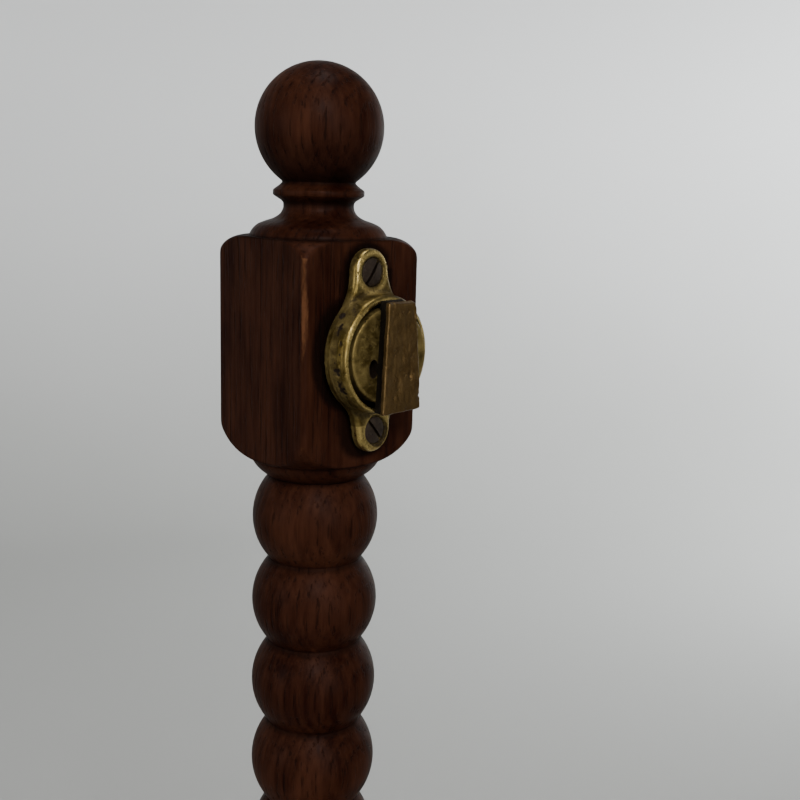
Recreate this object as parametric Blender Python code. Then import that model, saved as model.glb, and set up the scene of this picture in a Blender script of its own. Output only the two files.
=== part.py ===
"""Oak tilt-top table with two bobbin-turned posts and a top that lifts off its brass swivels.

Metres, +Z up, X along the tilt axis, front towards -Y, origin on the floor under the middle.
The top is shown lifted off its swivels and standing on the shelf between the posts.
"""
import math

import bmesh
import bpy
from mathutils import Matrix, Vector

MM = 0.001
GAP = 0.3 * MM                    # between two pieces that touch

# ---- driving dimensions -------------------------------------------------------------------
SPAN = 520 * MM                   # between the inner faces of the two posts' blocks
BLOCK = 38 * MM                   # square of the post's blocks
EYE = 693 * MM                    # height of the datum under the ball, which sets the turnings
POST_X = SPAN / 2 + BLOCK / 2     # a post's axis from the middle

PIVOT_Y = 2.1 * MM                # the fittings sit a little behind the posts' middle
PIVOT_Z = EYE - 46.1 * MM         # height of the tilt axis
PLATE_TURN = math.radians(4.2)    # how far the fittings are screwed on out of upright

BALL_RADIUS = 16.85 * MM
BALL_Z = EYE + 10.5 * MM
BOBBIN_RADIUS = 17.4 * MM
BOBBIN_WAIST = 13.3 * MM
BOBBIN_PITCH = 24.1 * MM
BOBBIN_COUNT = 18
BOBBIN_TOP = EYE - 82 * MM        # first waist, under the upper block
CORNER_RADIUS = 28 * MM           # turned radius that leaves a block square

FOOT_LENGTH = 330 * MM
FOOT_THICK = 42 * MM
FOOT_BASE = 20 * MM
FOOT_SEAT = 62 * MM               # where the post stands on its foot
BUN_Y = 138 * MM

STRETCHER_Z = 96 * MM
STRETCHER_RADIUS = 13.5 * MM
SHELF_TOP = 142 * MM
SHELF_THICK = 15 * MM
SHELF_DEPTH = 150 * MM

TOP_HEIGHT = 368 * MM             # the top's short side, upright when it is parked
TOP_THICK = 22 * MM
TOP_END = 13.4 * MM               # from a block's face to the top's end
CLEAT = 42 * MM
PARK_GAP = 0.4 * MM
TOP_Z = SHELF_TOP + PARK_GAP + TOP_HEIGHT / 2
BOARDS = 3

RING_RADIUS = 15.5 * MM           # brass housing, measured out from the block's face
RING_LIP = 7.9 * MM
RING_BORE = 13.8 * MM
EAR_RADIUS = 5.9 * MM
EAR_THICK = 3.0 * MM
SCREW_SPREAD = 21.0 * MM          # from the pivot to each screw
DISC_RADIUS = 12.5 * MM
DISC_FACE = 8.6 * MM
TONGUE_END = 12.6 * MM
TONGUE_LONG = 28.4 * MM
TONGUE_WIDE = 12.4 * MM
TONGUE_NARROW = 9.2 * MM
TONGUE_TURN = math.radians(1.2)   # the tongues rest a little out of upright
TONGUE_SHIFT = 0.5 * MM           # and behind the middle of their discs
FLANGE_RADIUS = 14.3 * MM         # keeps the disc in its housing
PILOT_RADIUS = 2.1 * MM           # clearance for a screw's shank

JAW_IN = 7.3 * MM                 # half the width of a socket's channel
JAW_OUT = 9.5 * MM
SOCKET_HALF = 24 * MM
SOCKET_MOUTH = 9.3 * MM           # from the block's face to the jaws
SOCKET_SCREWS = 18 * MM
PACKING_RADIUS = 6.2 * MM
PACKING_NEAR = TOP_END - 0.1 * MM  # both are measured from the block's face
PACKING_FAR = TOP_END + 2.9 * MM

POST_TENON = 11 * MM              # round tenon under a post
POST_TENON_LONG = 28 * MM
BUN_DOWEL = 6 * MM
BUN_DOWEL_LONG = 12 * MM
RAIL_TENON = 8 * MM               # round tenon of the stretcher
RAIL_TENON_LONG = 20 * MM
SHELF_TENON = 12 * MM             # half the width of the shelf's tenon
SHELF_TENON_TOP = SHELF_TOP - 3 * MM
SHELF_TENON_LOW = SHELF_TOP - 12 * MM
PEG_RADIUS = 3 * MM
PEG_DEEP = 5 * MM
PEG_HEIGHTS = (STRETCHER_Z, SHELF_TOP - SHELF_THICK / 2)
BOARD_TONGUE = 8 * MM
BOARD_TONGUE_HALF = 3.2 * MM
TOP_EDGE = 4 * MM                 # rounding of the top's long edges

SEGMENTS = 16

# ---- scene and materials ------------------------------------------------------------------
for old in list(bpy.data.objects):
    bpy.data.objects.remove(old, do_unlink=True)


def makeMaterial(name, colour, roughness, metallic=0.0):
    material = bpy.data.materials.new(name)
    material.use_nodes = True
    shader = material.node_tree.nodes["Principled BSDF"]
    shader.inputs["Base Color"].default_value = (*colour, 1)
    shader.inputs["Roughness"].default_value = roughness
    shader.inputs["Metallic"].default_value = metallic
    return material


WOOD_LOOK = ((0.085, 0.036, 0.022), 0.42, 0.0)  # colour, roughness, metallic
BRASS_LOOK = ((0.42, 0.31, 0.12), 0.38, 1.0)
STEEL_LOOK = ((0.10, 0.085, 0.07), 0.45, 1.0)
LEATHER_LOOK = ((0.16, 0.085, 0.045), 0.8, 0.0)


# ---- shared tools -------------------------------------------------------------------------
def addObject(name, bm, look):
    """An object whose mesh comes from a bmesh, with a material of its own."""
    bmesh.ops.remove_doubles(bm, verts=bm.verts, dist=1e-6)
    bmesh.ops.recalc_face_normals(bm, faces=bm.faces)
    mesh = bpy.data.meshes.new(name)
    bm.to_mesh(mesh)
    bm.free()
    thing = bpy.data.objects.new(name, mesh)
    bpy.context.scene.collection.objects.link(thing)
    colour, roughness, metallic = look
    mesh.materials.append(makeMaterial(name, colour, roughness, metallic))
    return thing


def lathe(profile, segments=SEGMENTS):
    """A closed turned solid from (radius, height) points, the first and last on the axis."""
    bm = bmesh.new()
    points = [bm.verts.new((radius, 0, height)) for radius, height in profile]
    edges = [bm.edges.new(pair) for pair in zip(points, points[1:])]
    bmesh.ops.spin(bm, geom=points + edges, axis=(0, 0, 1), cent=(0, 0, 0),
                   angle=math.tau, steps=segments, use_merge=True)
    bmesh.ops.remove_doubles(bm, verts=bm.verts, dist=1e-6)
    bmesh.ops.recalc_face_normals(bm, faces=bm.faces)
    return bm


def prism(outline, low, high):
    """An outline in the XY plane, extruded from one height to another."""
    bm = bmesh.new()
    face = bm.faces.new([bm.verts.new((x, y, low)) for x, y in outline])
    grown = bmesh.ops.extrude_face_region(bm, geom=[face])["geom"]
    corners = [item for item in grown if isinstance(item, bmesh.types.BMVert)]
    bmesh.ops.translate(bm, verts=corners, vec=(0, 0, high - low))
    bmesh.ops.recalc_face_normals(bm, faces=bm.faces)
    return bm


def box(low, high):
    bm = bmesh.new()
    size = Vector(high) - Vector(low)
    centre = (Vector(high) + Vector(low)) / 2
    place = Matrix.Translation(centre) @ Matrix.Diagonal((*size, 1))
    bmesh.ops.create_cube(bm, size=1, matrix=place)
    return bm


def turnTo(bm, axis_matrix):
    bmesh.ops.transform(bm, matrix=axis_matrix, verts=bm.verts)
    return bm


def roundEdges(bm, width, segments, wanted):
    """Bevel the edges whose two ends satisfy the test."""
    edges = [edge for edge in bm.edges if wanted(edge.verts[0].co, edge.verts[1].co)]
    bmesh.ops.bevel(bm, geom=edges, offset=width, segments=segments, profile=0.5,
                    affect="EDGES", material=-1)
    return bm


def combine(thing, other, operation):
    """Boolean another object into this one and leave the other as a hidden cutter."""
    other.hide_render = True
    other.display_type = "WIRE"
    cut = thing.modifiers.new(operation.title(), "BOOLEAN")
    cut.operation = operation
    cut.solver = "EXACT"
    cut.object = other
    return thing


def cutter(name, bm, place=None):
    tool = addObject(name, bm, WOOD_LOOK)
    if place is not None:
        tool.matrix_world = place
    return tool


def smooth(thing, degrees=35):
    thing.data.shade_smooth()
    thing.data.set_sharp_from_angle(angle=math.radians(degrees))
    return thing


def outwards(side):
    """Local +Z along X, away from the block's face: side -1 is the left post."""
    return Matrix.Rotation(math.radians(90 if side < 0 else -90), 4, "Y")


def atPivot(side, height=PIVOT_Z, turn=0.0):
    """Frame on a block's inner face at the pivot: local Z points at the other post."""
    place = Matrix.Translation((side * SPAN / 2, PIVOT_Y, height))
    return place @ Matrix.Rotation(turn, 4, "X") @ outwards(side)


def arc(cx, cy, radius, start, end, steps):
    turns = [math.radians(start + (end - start) * i / steps) for i in range(steps + 1)]
    return [(cx + radius * math.cos(t), cy + radius * math.sin(t)) for t in turns]


# ---- the turned posts ---------------------------------------------------------------------
def bobbins(top, count, pitch, radius, waist):
    """Profile of a run of bobbins downwards, waist first, without its last waist."""
    points = []
    for index in range(count):
        head = top - index * pitch
        points += [(waist, head), (radius * 0.985, head - pitch * 0.28),
                   (radius * 0.985, head - pitch * 0.72)]
    return points


def postProfile():
    ball = [(BALL_RADIUS * math.sin(t), BALL_Z + BALL_RADIUS * math.cos(t))
            for t in [math.radians(a) for a in (0, 26, 52, 78, 104, 128, 145)]]
    collar = [(9.7, -3.7), (12.0, -5.6), (12.0, -6.9), (9.4, -8.8)]
    spread = [(10.1, -11.7), (13.5, -13.3), (17.3, -15.6), (18.3, -17.3)]
    upper = [(23.5, -20.2), (28.0, -26.0), (28.0, -64.5), (24.5, -71.5), (18.0, -76.5)]
    bead = [(18.0, -78.2)]
    points = ball + [(r * MM, EYE + z * MM) for r, z in collar + spread + upper + bead]
    points += bobbins(BOBBIN_TOP, BOBBIN_COUNT, BOBBIN_PITCH, BOBBIN_RADIUS, BOBBIN_WAIST)
    low = BOBBIN_TOP - BOBBIN_COUNT * BOBBIN_PITCH
    points += [(BOBBIN_WAIST, low), (18 * MM, low - 4 * MM), (18.3 * MM, low - 6 * MM),
               (CORNER_RADIUS, low - 16 * MM), (CORNER_RADIUS, FOOT_SEAT + GAP),
               (POST_TENON, FOOT_SEAT + GAP), (POST_TENON, FOOT_SEAT - POST_TENON_LONG),
               (0, FOOT_SEAT - POST_TENON_LONG)]
    return points


def makePost(name, side):
    post = smooth(addObject(name, lathe(postProfile()), WOOD_LOOK))
    post.location = (side * POST_X, 0, 0)
    half = BLOCK / 2
    square = cutter("square_" + name, box((-half, -half, 0), (half, half, 0.8)))
    square.location = post.location
    combine(post, square, "INTERSECT")
    face = side * SPAN / 2
    deep = RAIL_TENON_LONG + 0.5 * MM
    near, far = sorted((face - side * MM, face + side * deep))
    half = SHELF_TENON + GAP
    mortise = cutter("mortise_" + name, box((near, -half, SHELF_TENON_LOW - GAP),
                                            (far, half, SHELF_TENON_TOP + GAP)))
    combine(post, mortise, "DIFFERENCE")
    bore = RAIL_TENON + GAP
    socket = cutter("socket_" + name, lathe([(0, MM), (bore, MM), (bore, -deep), (0, -deep)]))
    socket.matrix_world = Matrix.Translation((face, 0, STRETCHER_Z)) @ outwards(side)
    combine(post, socket, "DIFFERENCE")
    for end in (1, -1):
        pilot = cutter("pilot_%s_%d" % (name, end), lathe(
            [(0, MM), (PILOT_RADIUS, MM), (PILOT_RADIUS, -15 * MM), (0, -15 * MM)], 8))
        lift = Matrix.Translation((0, 0, end * SCREW_SPREAD))
        turn = Matrix.Rotation(PLATE_TURN, 4, "X")
        pilot.matrix_world = (Matrix.Translation((face, PIVOT_Y, PIVOT_Z)) @ turn @ lift
                              @ outwards(side))
        combine(post, pilot, "DIFFERENCE")
    wide = PEG_RADIUS + GAP
    for height in PEG_HEIGHTS:
        hole = cutter("pegHole_%s_%d" % (name, height / MM), lathe(
            [(0, MM), (wide, MM), (wide, -PEG_DEEP - GAP), (0, -PEG_DEEP - GAP)], 10))
        hole.matrix_world = pegPlace(side, height)
        combine(post, hole, "DIFFERENCE")


def pegPlace(side, height):
    """On the front face of a lower block, local Z towards the front."""
    return (Matrix.Translation((side * POST_X, -BLOCK / 2, height))
            @ Matrix.Rotation(math.radians(90), 4, "X"))


def makePegs(label, side):
    """Two pegs through a lower block's front, one for each tenon."""
    for rail, height in zip(("stretcher", "shelf"), PEG_HEIGHTS):
        peg = lathe([(0, 0.6 * MM), (PEG_RADIUS - 0.8 * MM, 0.4 * MM), (PEG_RADIUS, 0),
                     (PEG_RADIUS, -PEG_DEEP), (0, -PEG_DEEP)], 10)
        thing = smooth(addObject("%s_peg_%s" % (rail, label), peg, WOOD_LOOK))
        thing.matrix_world = pegPlace(side, height)


# ---- feet, stretcher and shelf ------------------------------------------------------------
def footOutline():
    """Side view of a trestle foot as (y, z), with a flat seat and swept ends."""
    half = FOOT_LENGTH / 2
    right = [(half - 8 * MM, FOOT_BASE), (half, FOOT_BASE + 7 * MM),
             (half, FOOT_BASE + 13 * MM), (half - 6 * MM, FOOT_BASE + 18 * MM)]
    steps = 6
    for i in range(1, steps + 1):
        part = i / steps
        rise = (1 - math.cos(math.pi * part)) / 2
        right.append((half - 6 * MM - part * 118 * MM,
                      FOOT_BASE + 18 * MM + rise * (FOOT_SEAT - FOOT_BASE - 22 * MM)))
    right.append((32 * MM, FOOT_SEAT))
    return right + [(-y, z) for y, z in reversed(right)]


def makeFoot(name, side):
    bm = prism(footOutline(), -FOOT_THICK / 2, FOOT_THICK / 2)
    turnTo(bm, Matrix(((0, 0, 1, 0), (1, 0, 0, 0), (0, 1, 0, 0), (0, 0, 0, 1))))
    foot = addObject(name, bm, WOOD_LOOK)
    foot.location = (side * POST_X, 0, 0)
    wide = POST_TENON + GAP
    floor = FOOT_SEAT - POST_TENON_LONG - 0.5 * MM
    tenon = cutter("tenonHole_" + name, lathe(
        [(0, FOOT_SEAT + MM), (wide, FOOT_SEAT + MM), (wide, floor), (0, floor)]),
        Matrix.Translation((side * POST_X, 0, 0)))
    combine(foot, tenon, "DIFFERENCE")
    wide = BUN_DOWEL + GAP
    ceiling = FOOT_BASE + BUN_DOWEL_LONG + 0.5 * MM
    for end in (-1, 1):
        dowel = cutter("dowelHole_%s_%d" % (name, end), lathe(
            [(0, ceiling), (wide, ceiling), (wide, FOOT_BASE - MM), (0, FOOT_BASE - MM)], 12),
            Matrix.Translation((side * POST_X, end * BUN_Y, 0)))
        combine(foot, dowel, "DIFFERENCE")


def makeBun(name, side, end):
    top = FOOT_BASE - GAP
    profile = [(0, top + BUN_DOWEL_LONG), (BUN_DOWEL, top + BUN_DOWEL_LONG), (BUN_DOWEL, top),
               (13 * MM, top),
               (18.5 * MM, top - 5 * MM), (19.5 * MM, top - 10 * MM), (17 * MM, top - 16 * MM),
               (12 * MM, 0), (0, 0)]
    bun = smooth(addObject(name, lathe(profile), WOOD_LOOK))
    bun.location = (side * POST_X, end * BUN_Y, 0)


def makeStretcher():
    """Bobbin-turned rail between the lower blocks, with a round tenon at each end."""
    half = SPAN / 2 - GAP
    count = 21
    pitch = 24 * MM
    start = count * pitch / 2
    end = half + RAIL_TENON_LONG
    profile = [(0, end), (RAIL_TENON, end), (RAIL_TENON, half),
               (12.5 * MM, half), (12.5 * MM, start + 3 * MM)]
    profile += bobbins(start, count, pitch, STRETCHER_RADIUS, 10 * MM)
    profile += [(10 * MM, -start), (12.5 * MM, -start - 3 * MM), (12.5 * MM, -half),
                (RAIL_TENON, -half), (RAIL_TENON, -end), (0, -end)]
    rail = smooth(addObject("bobbin_stretcher", lathe(profile, 12), WOOD_LOOK))
    rail.matrix_world = (Matrix.Translation((0, 0, STRETCHER_Z))
                         @ Matrix.Rotation(math.radians(90), 4, "Y"))


def makeShelf():
    """Flat shelf between the posts with rounded corners and a tenon at each end."""
    half = SPAN / 2 - GAP
    deep = SHELF_DEPTH / 2
    corner = 24 * MM
    outline = []
    for turn in range(4):
        cx = (half - corner) * (1 if turn in (0, 3) else -1)
        cy = (deep - corner) * (1 if turn in (0, 1) else -1)
        outline += arc(cx, cy, corner, 90 * turn, 90 * turn + 90, 4)
    bm = prism(outline, SHELF_TOP - SHELF_THICK, SHELF_TOP)

    def rim(a, b):
        return abs(a.z - b.z) < 1e-6
    roundEdges(bm, 3.5 * MM, 2, rim)
    shelf = addObject("lower_shelf", bm, WOOD_LOOK)
    long = half + RAIL_TENON_LONG
    tongue = cutter("shelfTenon", box((-long, -SHELF_TENON, SHELF_TENON_LOW),
                                      (long, SHELF_TENON, SHELF_TENON_TOP)))
    combine(shelf, tongue, "UNION")


# ---- the brass swivels on the posts -------------------------------------------------------
def plateOutline():
    """Two ears running into a ring through hollow fillets, in the plane of the face."""
    fillet = 3.5 * MM
    side = EAR_RADIUS + fillet
    up = math.sqrt((RING_RADIUS + fillet) ** 2 - side ** 2)
    meet = math.degrees(math.atan2(up, side))
    quarter = arc(0, SCREW_SPREAD, EAR_RADIUS, 90, 0, 4)
    quarter += arc(side, up, fillet, 180, 180 + meet, 3)
    quarter += arc(0, 0, RING_RADIUS, meet, 0, 4)[1:]
    right = quarter + [(x, -y) for x, y in reversed(quarter[:-1])]
    left = [(-x, y) for x, y in reversed(right[1:-1])]
    return right + left


def makePlate(name, side):
    """Housing screwed to a block: local Y is up the post, local Z stands off its face."""
    place = (Matrix.Translation((side * SPAN / 2, PIVOT_Y, PIVOT_Z))
             @ Matrix.Rotation(PLATE_TURN, 4, "X") @ outwards(side)
             @ Matrix.Rotation(math.radians(-90 * side), 4, "Z"))
    plate = addObject(name, prism(plateOutline(), GAP, EAR_THICK), BRASS_LOOK)
    plate.matrix_world = place
    ring = lathe([(0, RING_LIP), (RING_BORE + 0.3 * MM, RING_LIP),
                  (RING_RADIUS - 0.9 * MM, RING_LIP - 0.8 * MM),
                  (RING_RADIUS - 0.3 * MM, RING_LIP - 3 * MM),
                  (RING_RADIUS - 0.1 * MM, GAP + 0.1 * MM), (0, GAP + 0.1 * MM)], 24)
    combine(plate, cutter("ring_" + name, ring, place), "UNION")
    rebate = FLANGE_RADIUS + GAP
    bore = lathe([(0, RING_LIP + MM), (RING_BORE, RING_LIP + MM), (RING_BORE, 3.2 * MM),
                  (rebate, 3.2 * MM), (rebate, -MM), (0, -MM)], 24)
    combine(plate, cutter("bore_" + name, bore, place), "DIFFERENCE")
    for end in (1, -1):
        sink = lathe([(0, 4 * MM), (3.75 * MM, 4 * MM), (3.75 * MM, 2.8 * MM),
                      (PILOT_RADIUS, 1.1 * MM), (PILOT_RADIUS, -MM), (0, -MM)], 12)
        spot = place @ Matrix.Translation((0, end * SCREW_SPREAD, 0))
        combine(plate, cutter("sink_%s_%d" % (name, end), sink, spot), "DIFFERENCE")


def tongueBlock():
    """Dovetail wedge, narrow end up (local +Y) and undercut towards the disc."""
    under = 1.0 * MM
    foot = DISC_FACE - 0.5 * MM
    bm = bmesh.new()
    half = TONGUE_LONG / 2
    rings = []
    for depth, pinch in ((foot, under), (TONGUE_END, 0)):
        wide = TONGUE_WIDE / 2 - pinch
        slim = TONGUE_NARROW / 2 - pinch
        rings.append([bm.verts.new((x, y, depth)) for x, y in
                      ((-wide, -half), (wide, -half), (slim, half), (-slim, half))])
    bm.faces.new(reversed(rings[0]))
    bm.faces.new(rings[1])
    for i in range(4):
        j = (i + 1) % 4
        bm.faces.new((rings[0][i], rings[0][j], rings[1][j], rings[1][i]))
    return bm


def makeSwivel(name, side):
    """Disc turned with a flange that the housing holds, and a dovetail tongue on its face."""
    place = atPivot(side) @ Matrix.Rotation(math.radians(-90 * side), 4, "Z")
    disc = lathe([(0, DISC_FACE), (DISC_RADIUS - 0.5 * MM, DISC_FACE),
                  (DISC_RADIUS, DISC_FACE - 0.5 * MM), (DISC_RADIUS, 2.9 * MM),
                  (FLANGE_RADIUS, 2.9 * MM), (FLANGE_RADIUS, 1.6 * MM), (0, 1.6 * MM)], 20)
    swivel = addObject(name, disc, BRASS_LOOK)
    swivel.matrix_world = place
    turned = (Matrix.Translation((-side * TONGUE_SHIFT, 0, 0))
              @ Matrix.Rotation(-side * TONGUE_TURN, 4, "Z"))
    combine(swivel, cutter("tongue_" + name, tongueBlock(), place @ turned), "UNION")


def makeWasher(name, side):
    """Spring washer behind the disc, which gives the swivel its drag."""
    ring = lathe([(8 * MM, 0.6 * MM), (8 * MM, 1.2 * MM), (12.8 * MM, 1.0 * MM),
                  (12.8 * MM, 0.45 * MM), (8 * MM, 0.6 * MM)], 16)
    washer = addObject(name, ring, STEEL_LOOK)
    washer.matrix_world = atPivot(side)


def screwSolid(head_z, length, radius=1.75 * MM):
    """Slotted countersunk screw along local Z, its head's rim at head_z."""
    bm = lathe([(0, head_z + 0.45 * MM), (2 * MM, head_z + 0.3 * MM), (3.5 * MM, head_z),
                (radius, head_z - 1.75 * MM), (radius, head_z - length * 0.75),
                (0, head_z - length)], 12)
    low = head_z - 0.45 * MM
    for x in (-0.45 * MM, 0.45 * MM):
        bmesh.ops.bisect_plane(bm, geom=bm.verts[:] + bm.edges[:] + bm.faces[:],
                               plane_co=(x, 0, 0), plane_no=(1, 0, 0))
    for vert in bm.verts:
        if abs(vert.co.x) < 0.44 * MM and vert.co.z > low:
            vert.co.z = low
    return bm


def plateScrews(label, side):
    """The two screws of a housing, upper and lower."""
    turn = Matrix.Rotation(PLATE_TURN, 4, "X")
    base = Matrix.Translation((side * SPAN / 2, PIVOT_Y, PIVOT_Z)) @ turn
    for place, end in (("upper", 1), ("lower", -1)):
        screw = smooth(addObject("housing_screw_%s_%s" % (label, place),
                                 screwSolid(EAR_THICK + 0.1 * MM, 16 * MM), STEEL_LOOK))
        screw.matrix_world = (base @ Matrix.Translation((0, 0, end * SCREW_SPREAD))
                              @ outwards(side))


# ---- the top, parked upright on the shelf --------------------------------------------------
def endX(side):
    """Where the top's end lies."""
    return side * (SPAN / 2 - TOP_END)


def makeBoards():
    """Edge-jointed boards with a tongue at each end for the cleats."""
    reach = SPAN / 2 - TOP_END - CLEAT - GAP
    thin = BOARD_TONGUE_HALF
    thick = TOP_THICK / 2
    outline = [(reach, -thick), (reach, -thin), (reach + BOARD_TONGUE, -thin),
               (reach + BOARD_TONGUE, thin), (reach, thin), (reach, thick)]
    outline += [(-x, y) for x, y in reversed(outline)]
    each = TOP_HEIGHT / BOARDS
    names = ("top_board_lower", "top_board_middle", "top_board_upper")
    for index, name in enumerate(names):
        low = TOP_Z - TOP_HEIGHT / 2 + index * each + (GAP / 2 if index else 0)
        high = TOP_Z - TOP_HEIGHT / 2 + (index + 1) * each - (GAP / 2 if index < 2 else 0)
        bm = prism(outline, low, high)
        outer = {0: low, 2: high}.get(index)
        if outer is not None:
            def moulded(a, b, level=outer):
                return (abs(a.z - level) < 1e-6 and abs(b.z - level) < 1e-6
                        and abs(abs(a.y) - thick) < 1e-6 and abs(a.y - b.y) < 1e-6)
            roundEdges(bm, TOP_EDGE, 3, moulded)
        board = addObject(name, bm, WOOD_LOOK)
        board.location = (0, PIVOT_Y, 0)


def makeCleat(name, side):
    """Grooved end cleat, with a recess for the socket and a pocket for its packing disc."""
    inner = SPAN / 2 - TOP_END - CLEAT
    outer = SPAN / 2 - TOP_END
    groove = BOARD_TONGUE + 0.4 * MM
    slot = BOARD_TONGUE_HALF + GAP
    thick = TOP_THICK / 2
    outline = [(inner, -thick), (outer, -thick), (outer, thick), (inner, thick),
               (inner, slot), (inner + groove, slot), (inner + groove, -slot), (inner, -slot)]
    outline = [(side * x, y) for x, y in outline]
    bm = prism(outline, TOP_Z - TOP_HEIGHT / 2, TOP_Z + TOP_HEIGHT / 2)

    def longEdge(a, b):
        flat = abs(a.z - b.z) < 1e-6 and abs(abs(a.z - TOP_Z) - TOP_HEIGHT / 2) < 1e-6
        return flat and abs(abs(a.y) - thick) < 1e-6 and abs(a.y - b.y) < 1e-6
    roundEdges(bm, TOP_EDGE, 3, longEdge)
    cleat = addObject(name, bm, WOOD_LOOK)
    cleat.location = (0, PIVOT_Y, 0)
    near, far = sorted((endX(side) + side * MM, endX(side) - side * 1.5 * MM))
    half = SOCKET_HALF + GAP
    recess = cutter("recess_" + name, box((near, PIVOT_Y - JAW_OUT - GAP, TOP_Z - half),
                                          (far, PIVOT_Y + JAW_OUT + GAP, TOP_Z + half)))
    combine(cleat, recess, "DIFFERENCE")
    pocket = cutter("pocket_" + name, lathe(
        [(0, PACKING_FAR + 0.4 * MM), (PACKING_RADIUS + 0.4 * MM, PACKING_FAR + 0.4 * MM),
         (PACKING_RADIUS + 0.4 * MM, 11 * MM), (0, 11 * MM)], 16), atPivot(side, TOP_Z))
    combine(cleat, pocket, "DIFFERENCE")
    for end in (1, -1):
        pilot = cutter("pilot_%s_%d" % (name, end), lathe(
            [(0, 30 * MM), (PILOT_RADIUS, 30 * MM), (PILOT_RADIUS, 11 * MM), (0, 11 * MM)], 8),
            atPivot(side, TOP_Z) @ Matrix.Translation((end * SOCKET_SCREWS, 0, 0)))
        combine(cleat, pilot, "DIFFERENCE")


def makeSocket(name, side):
    """Brass channel let into a cleat: its two jaws stand out on either side of the tongue."""
    floor_low = TOP_END + 1.2 * MM
    floor_high = TOP_END - 0.3 * MM
    outline = [(-JAW_OUT, floor_low), (-JAW_OUT, SOCKET_MOUTH), (-JAW_IN, SOCKET_MOUTH),
               (-JAW_IN, floor_high), (JAW_IN, floor_high), (JAW_IN, SOCKET_MOUTH),
               (JAW_OUT, SOCKET_MOUTH), (JAW_OUT, floor_low)]
    bm = prism(outline, -SOCKET_HALF, SOCKET_HALF)
    turnTo(bm, Matrix(((0, 0, 1, 0), (1, 0, 0, 0), (0, 1, 0, 0), (0, 0, 0, 1))))
    socket = addObject(name, bm, BRASS_LOOK)
    socket.matrix_world = atPivot(side, TOP_Z)
    hole = cutter("hole_" + name, lathe(
        [(0, PACKING_FAR + MM), (PACKING_RADIUS + 0.4 * MM, PACKING_FAR + MM),
         (PACKING_RADIUS + 0.4 * MM, 11 * MM), (0, 11 * MM)], 16), atPivot(side, TOP_Z))
    combine(socket, hole, "DIFFERENCE")
    for end in (1, -1):
        sink = cutter("sink_%s_%d" % (name, end), lathe(
            [(0, floor_low + MM), (PILOT_RADIUS, floor_low + MM), (PILOT_RADIUS, TOP_END + MM),
             (2.9 * MM, TOP_END - 0.4 * MM), (2.9 * MM, TOP_END - MM), (0, TOP_END - MM)], 12),
            atPivot(side, TOP_Z) @ Matrix.Translation((end * SOCKET_SCREWS, 0, 0)))
        combine(socket, sink, "DIFFERENCE")


def socketScrews(label, side):
    """Small countersunk screws that hold a socket into the cleat's end."""
    for place, end in (("upper", side), ("lower", -side)):
        head = TOP_END - 0.2 * MM
        screw = lathe([(0, head), (2.6 * MM, head), (1.7 * MM, head + 1.5 * MM),
                       (1.7 * MM, head + 11.6 * MM), (0, head + 16.6 * MM)], 8)
        thing = smooth(addObject("socket_screw_%s_%s" % (label, place), screw, STEEL_LOOK))
        thing.matrix_world = (atPivot(side, TOP_Z)
                              @ Matrix.Translation((end * SOCKET_SCREWS, 0, 0)))


def makePacking(name, side):
    """Leather disc in the bottom of a socket, which takes up the top's end play."""
    disc = addObject(name, lathe([(0, PACKING_NEAR), (PACKING_RADIUS, PACKING_NEAR),
                                  (PACKING_RADIUS, PACKING_FAR), (0, PACKING_FAR)], 16),
                     LEATHER_LOOK)
    disc.matrix_world = atPivot(side, TOP_Z)


# ---- the assembly -------------------------------------------------------------------------
for label, which in (("left", -1), ("right", 1)):
    makePost("post_" + label, which)
    makeFoot("trestle_foot_" + label, which)
    makeBun("bun_foot_%s_front" % label, which, -1)
    makeBun("bun_foot_%s_back" % label, which, 1)
    makePlate("swivel_housing_" + label, which)
    makeSwivel("swivel_tongue_" + label, which)
    makeWasher("spring_washer_" + label, which)
    plateScrews(label, which)
    makePegs(label, which)
    makeCleat("top_cleat_" + label, which)
    makeSocket("top_socket_" + label, which)
    socketScrews(label, which)
    makePacking("packing_disc_" + label, which)
makeStretcher()
makeShelf()
makeBoards()
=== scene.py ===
import math
import random

import bmesh
import bpy
from mathutils import Matrix, Vector, noise


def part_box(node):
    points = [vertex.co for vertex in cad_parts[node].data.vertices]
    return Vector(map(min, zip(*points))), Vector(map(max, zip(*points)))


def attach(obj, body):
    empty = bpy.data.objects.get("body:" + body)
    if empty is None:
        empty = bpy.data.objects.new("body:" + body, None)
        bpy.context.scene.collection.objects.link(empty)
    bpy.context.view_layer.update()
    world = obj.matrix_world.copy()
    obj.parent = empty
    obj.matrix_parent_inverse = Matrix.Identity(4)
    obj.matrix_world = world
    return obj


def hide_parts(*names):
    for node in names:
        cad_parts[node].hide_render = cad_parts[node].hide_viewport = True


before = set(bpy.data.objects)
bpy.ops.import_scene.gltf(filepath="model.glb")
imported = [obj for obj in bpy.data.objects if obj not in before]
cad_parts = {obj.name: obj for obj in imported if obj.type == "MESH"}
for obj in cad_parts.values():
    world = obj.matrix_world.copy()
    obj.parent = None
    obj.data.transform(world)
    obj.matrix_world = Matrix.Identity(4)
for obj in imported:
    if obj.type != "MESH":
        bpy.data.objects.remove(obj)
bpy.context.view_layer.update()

mm = 0.001
left, right = -1, 1
gap = 0.3 * mm  # left between pieces that touch

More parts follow.
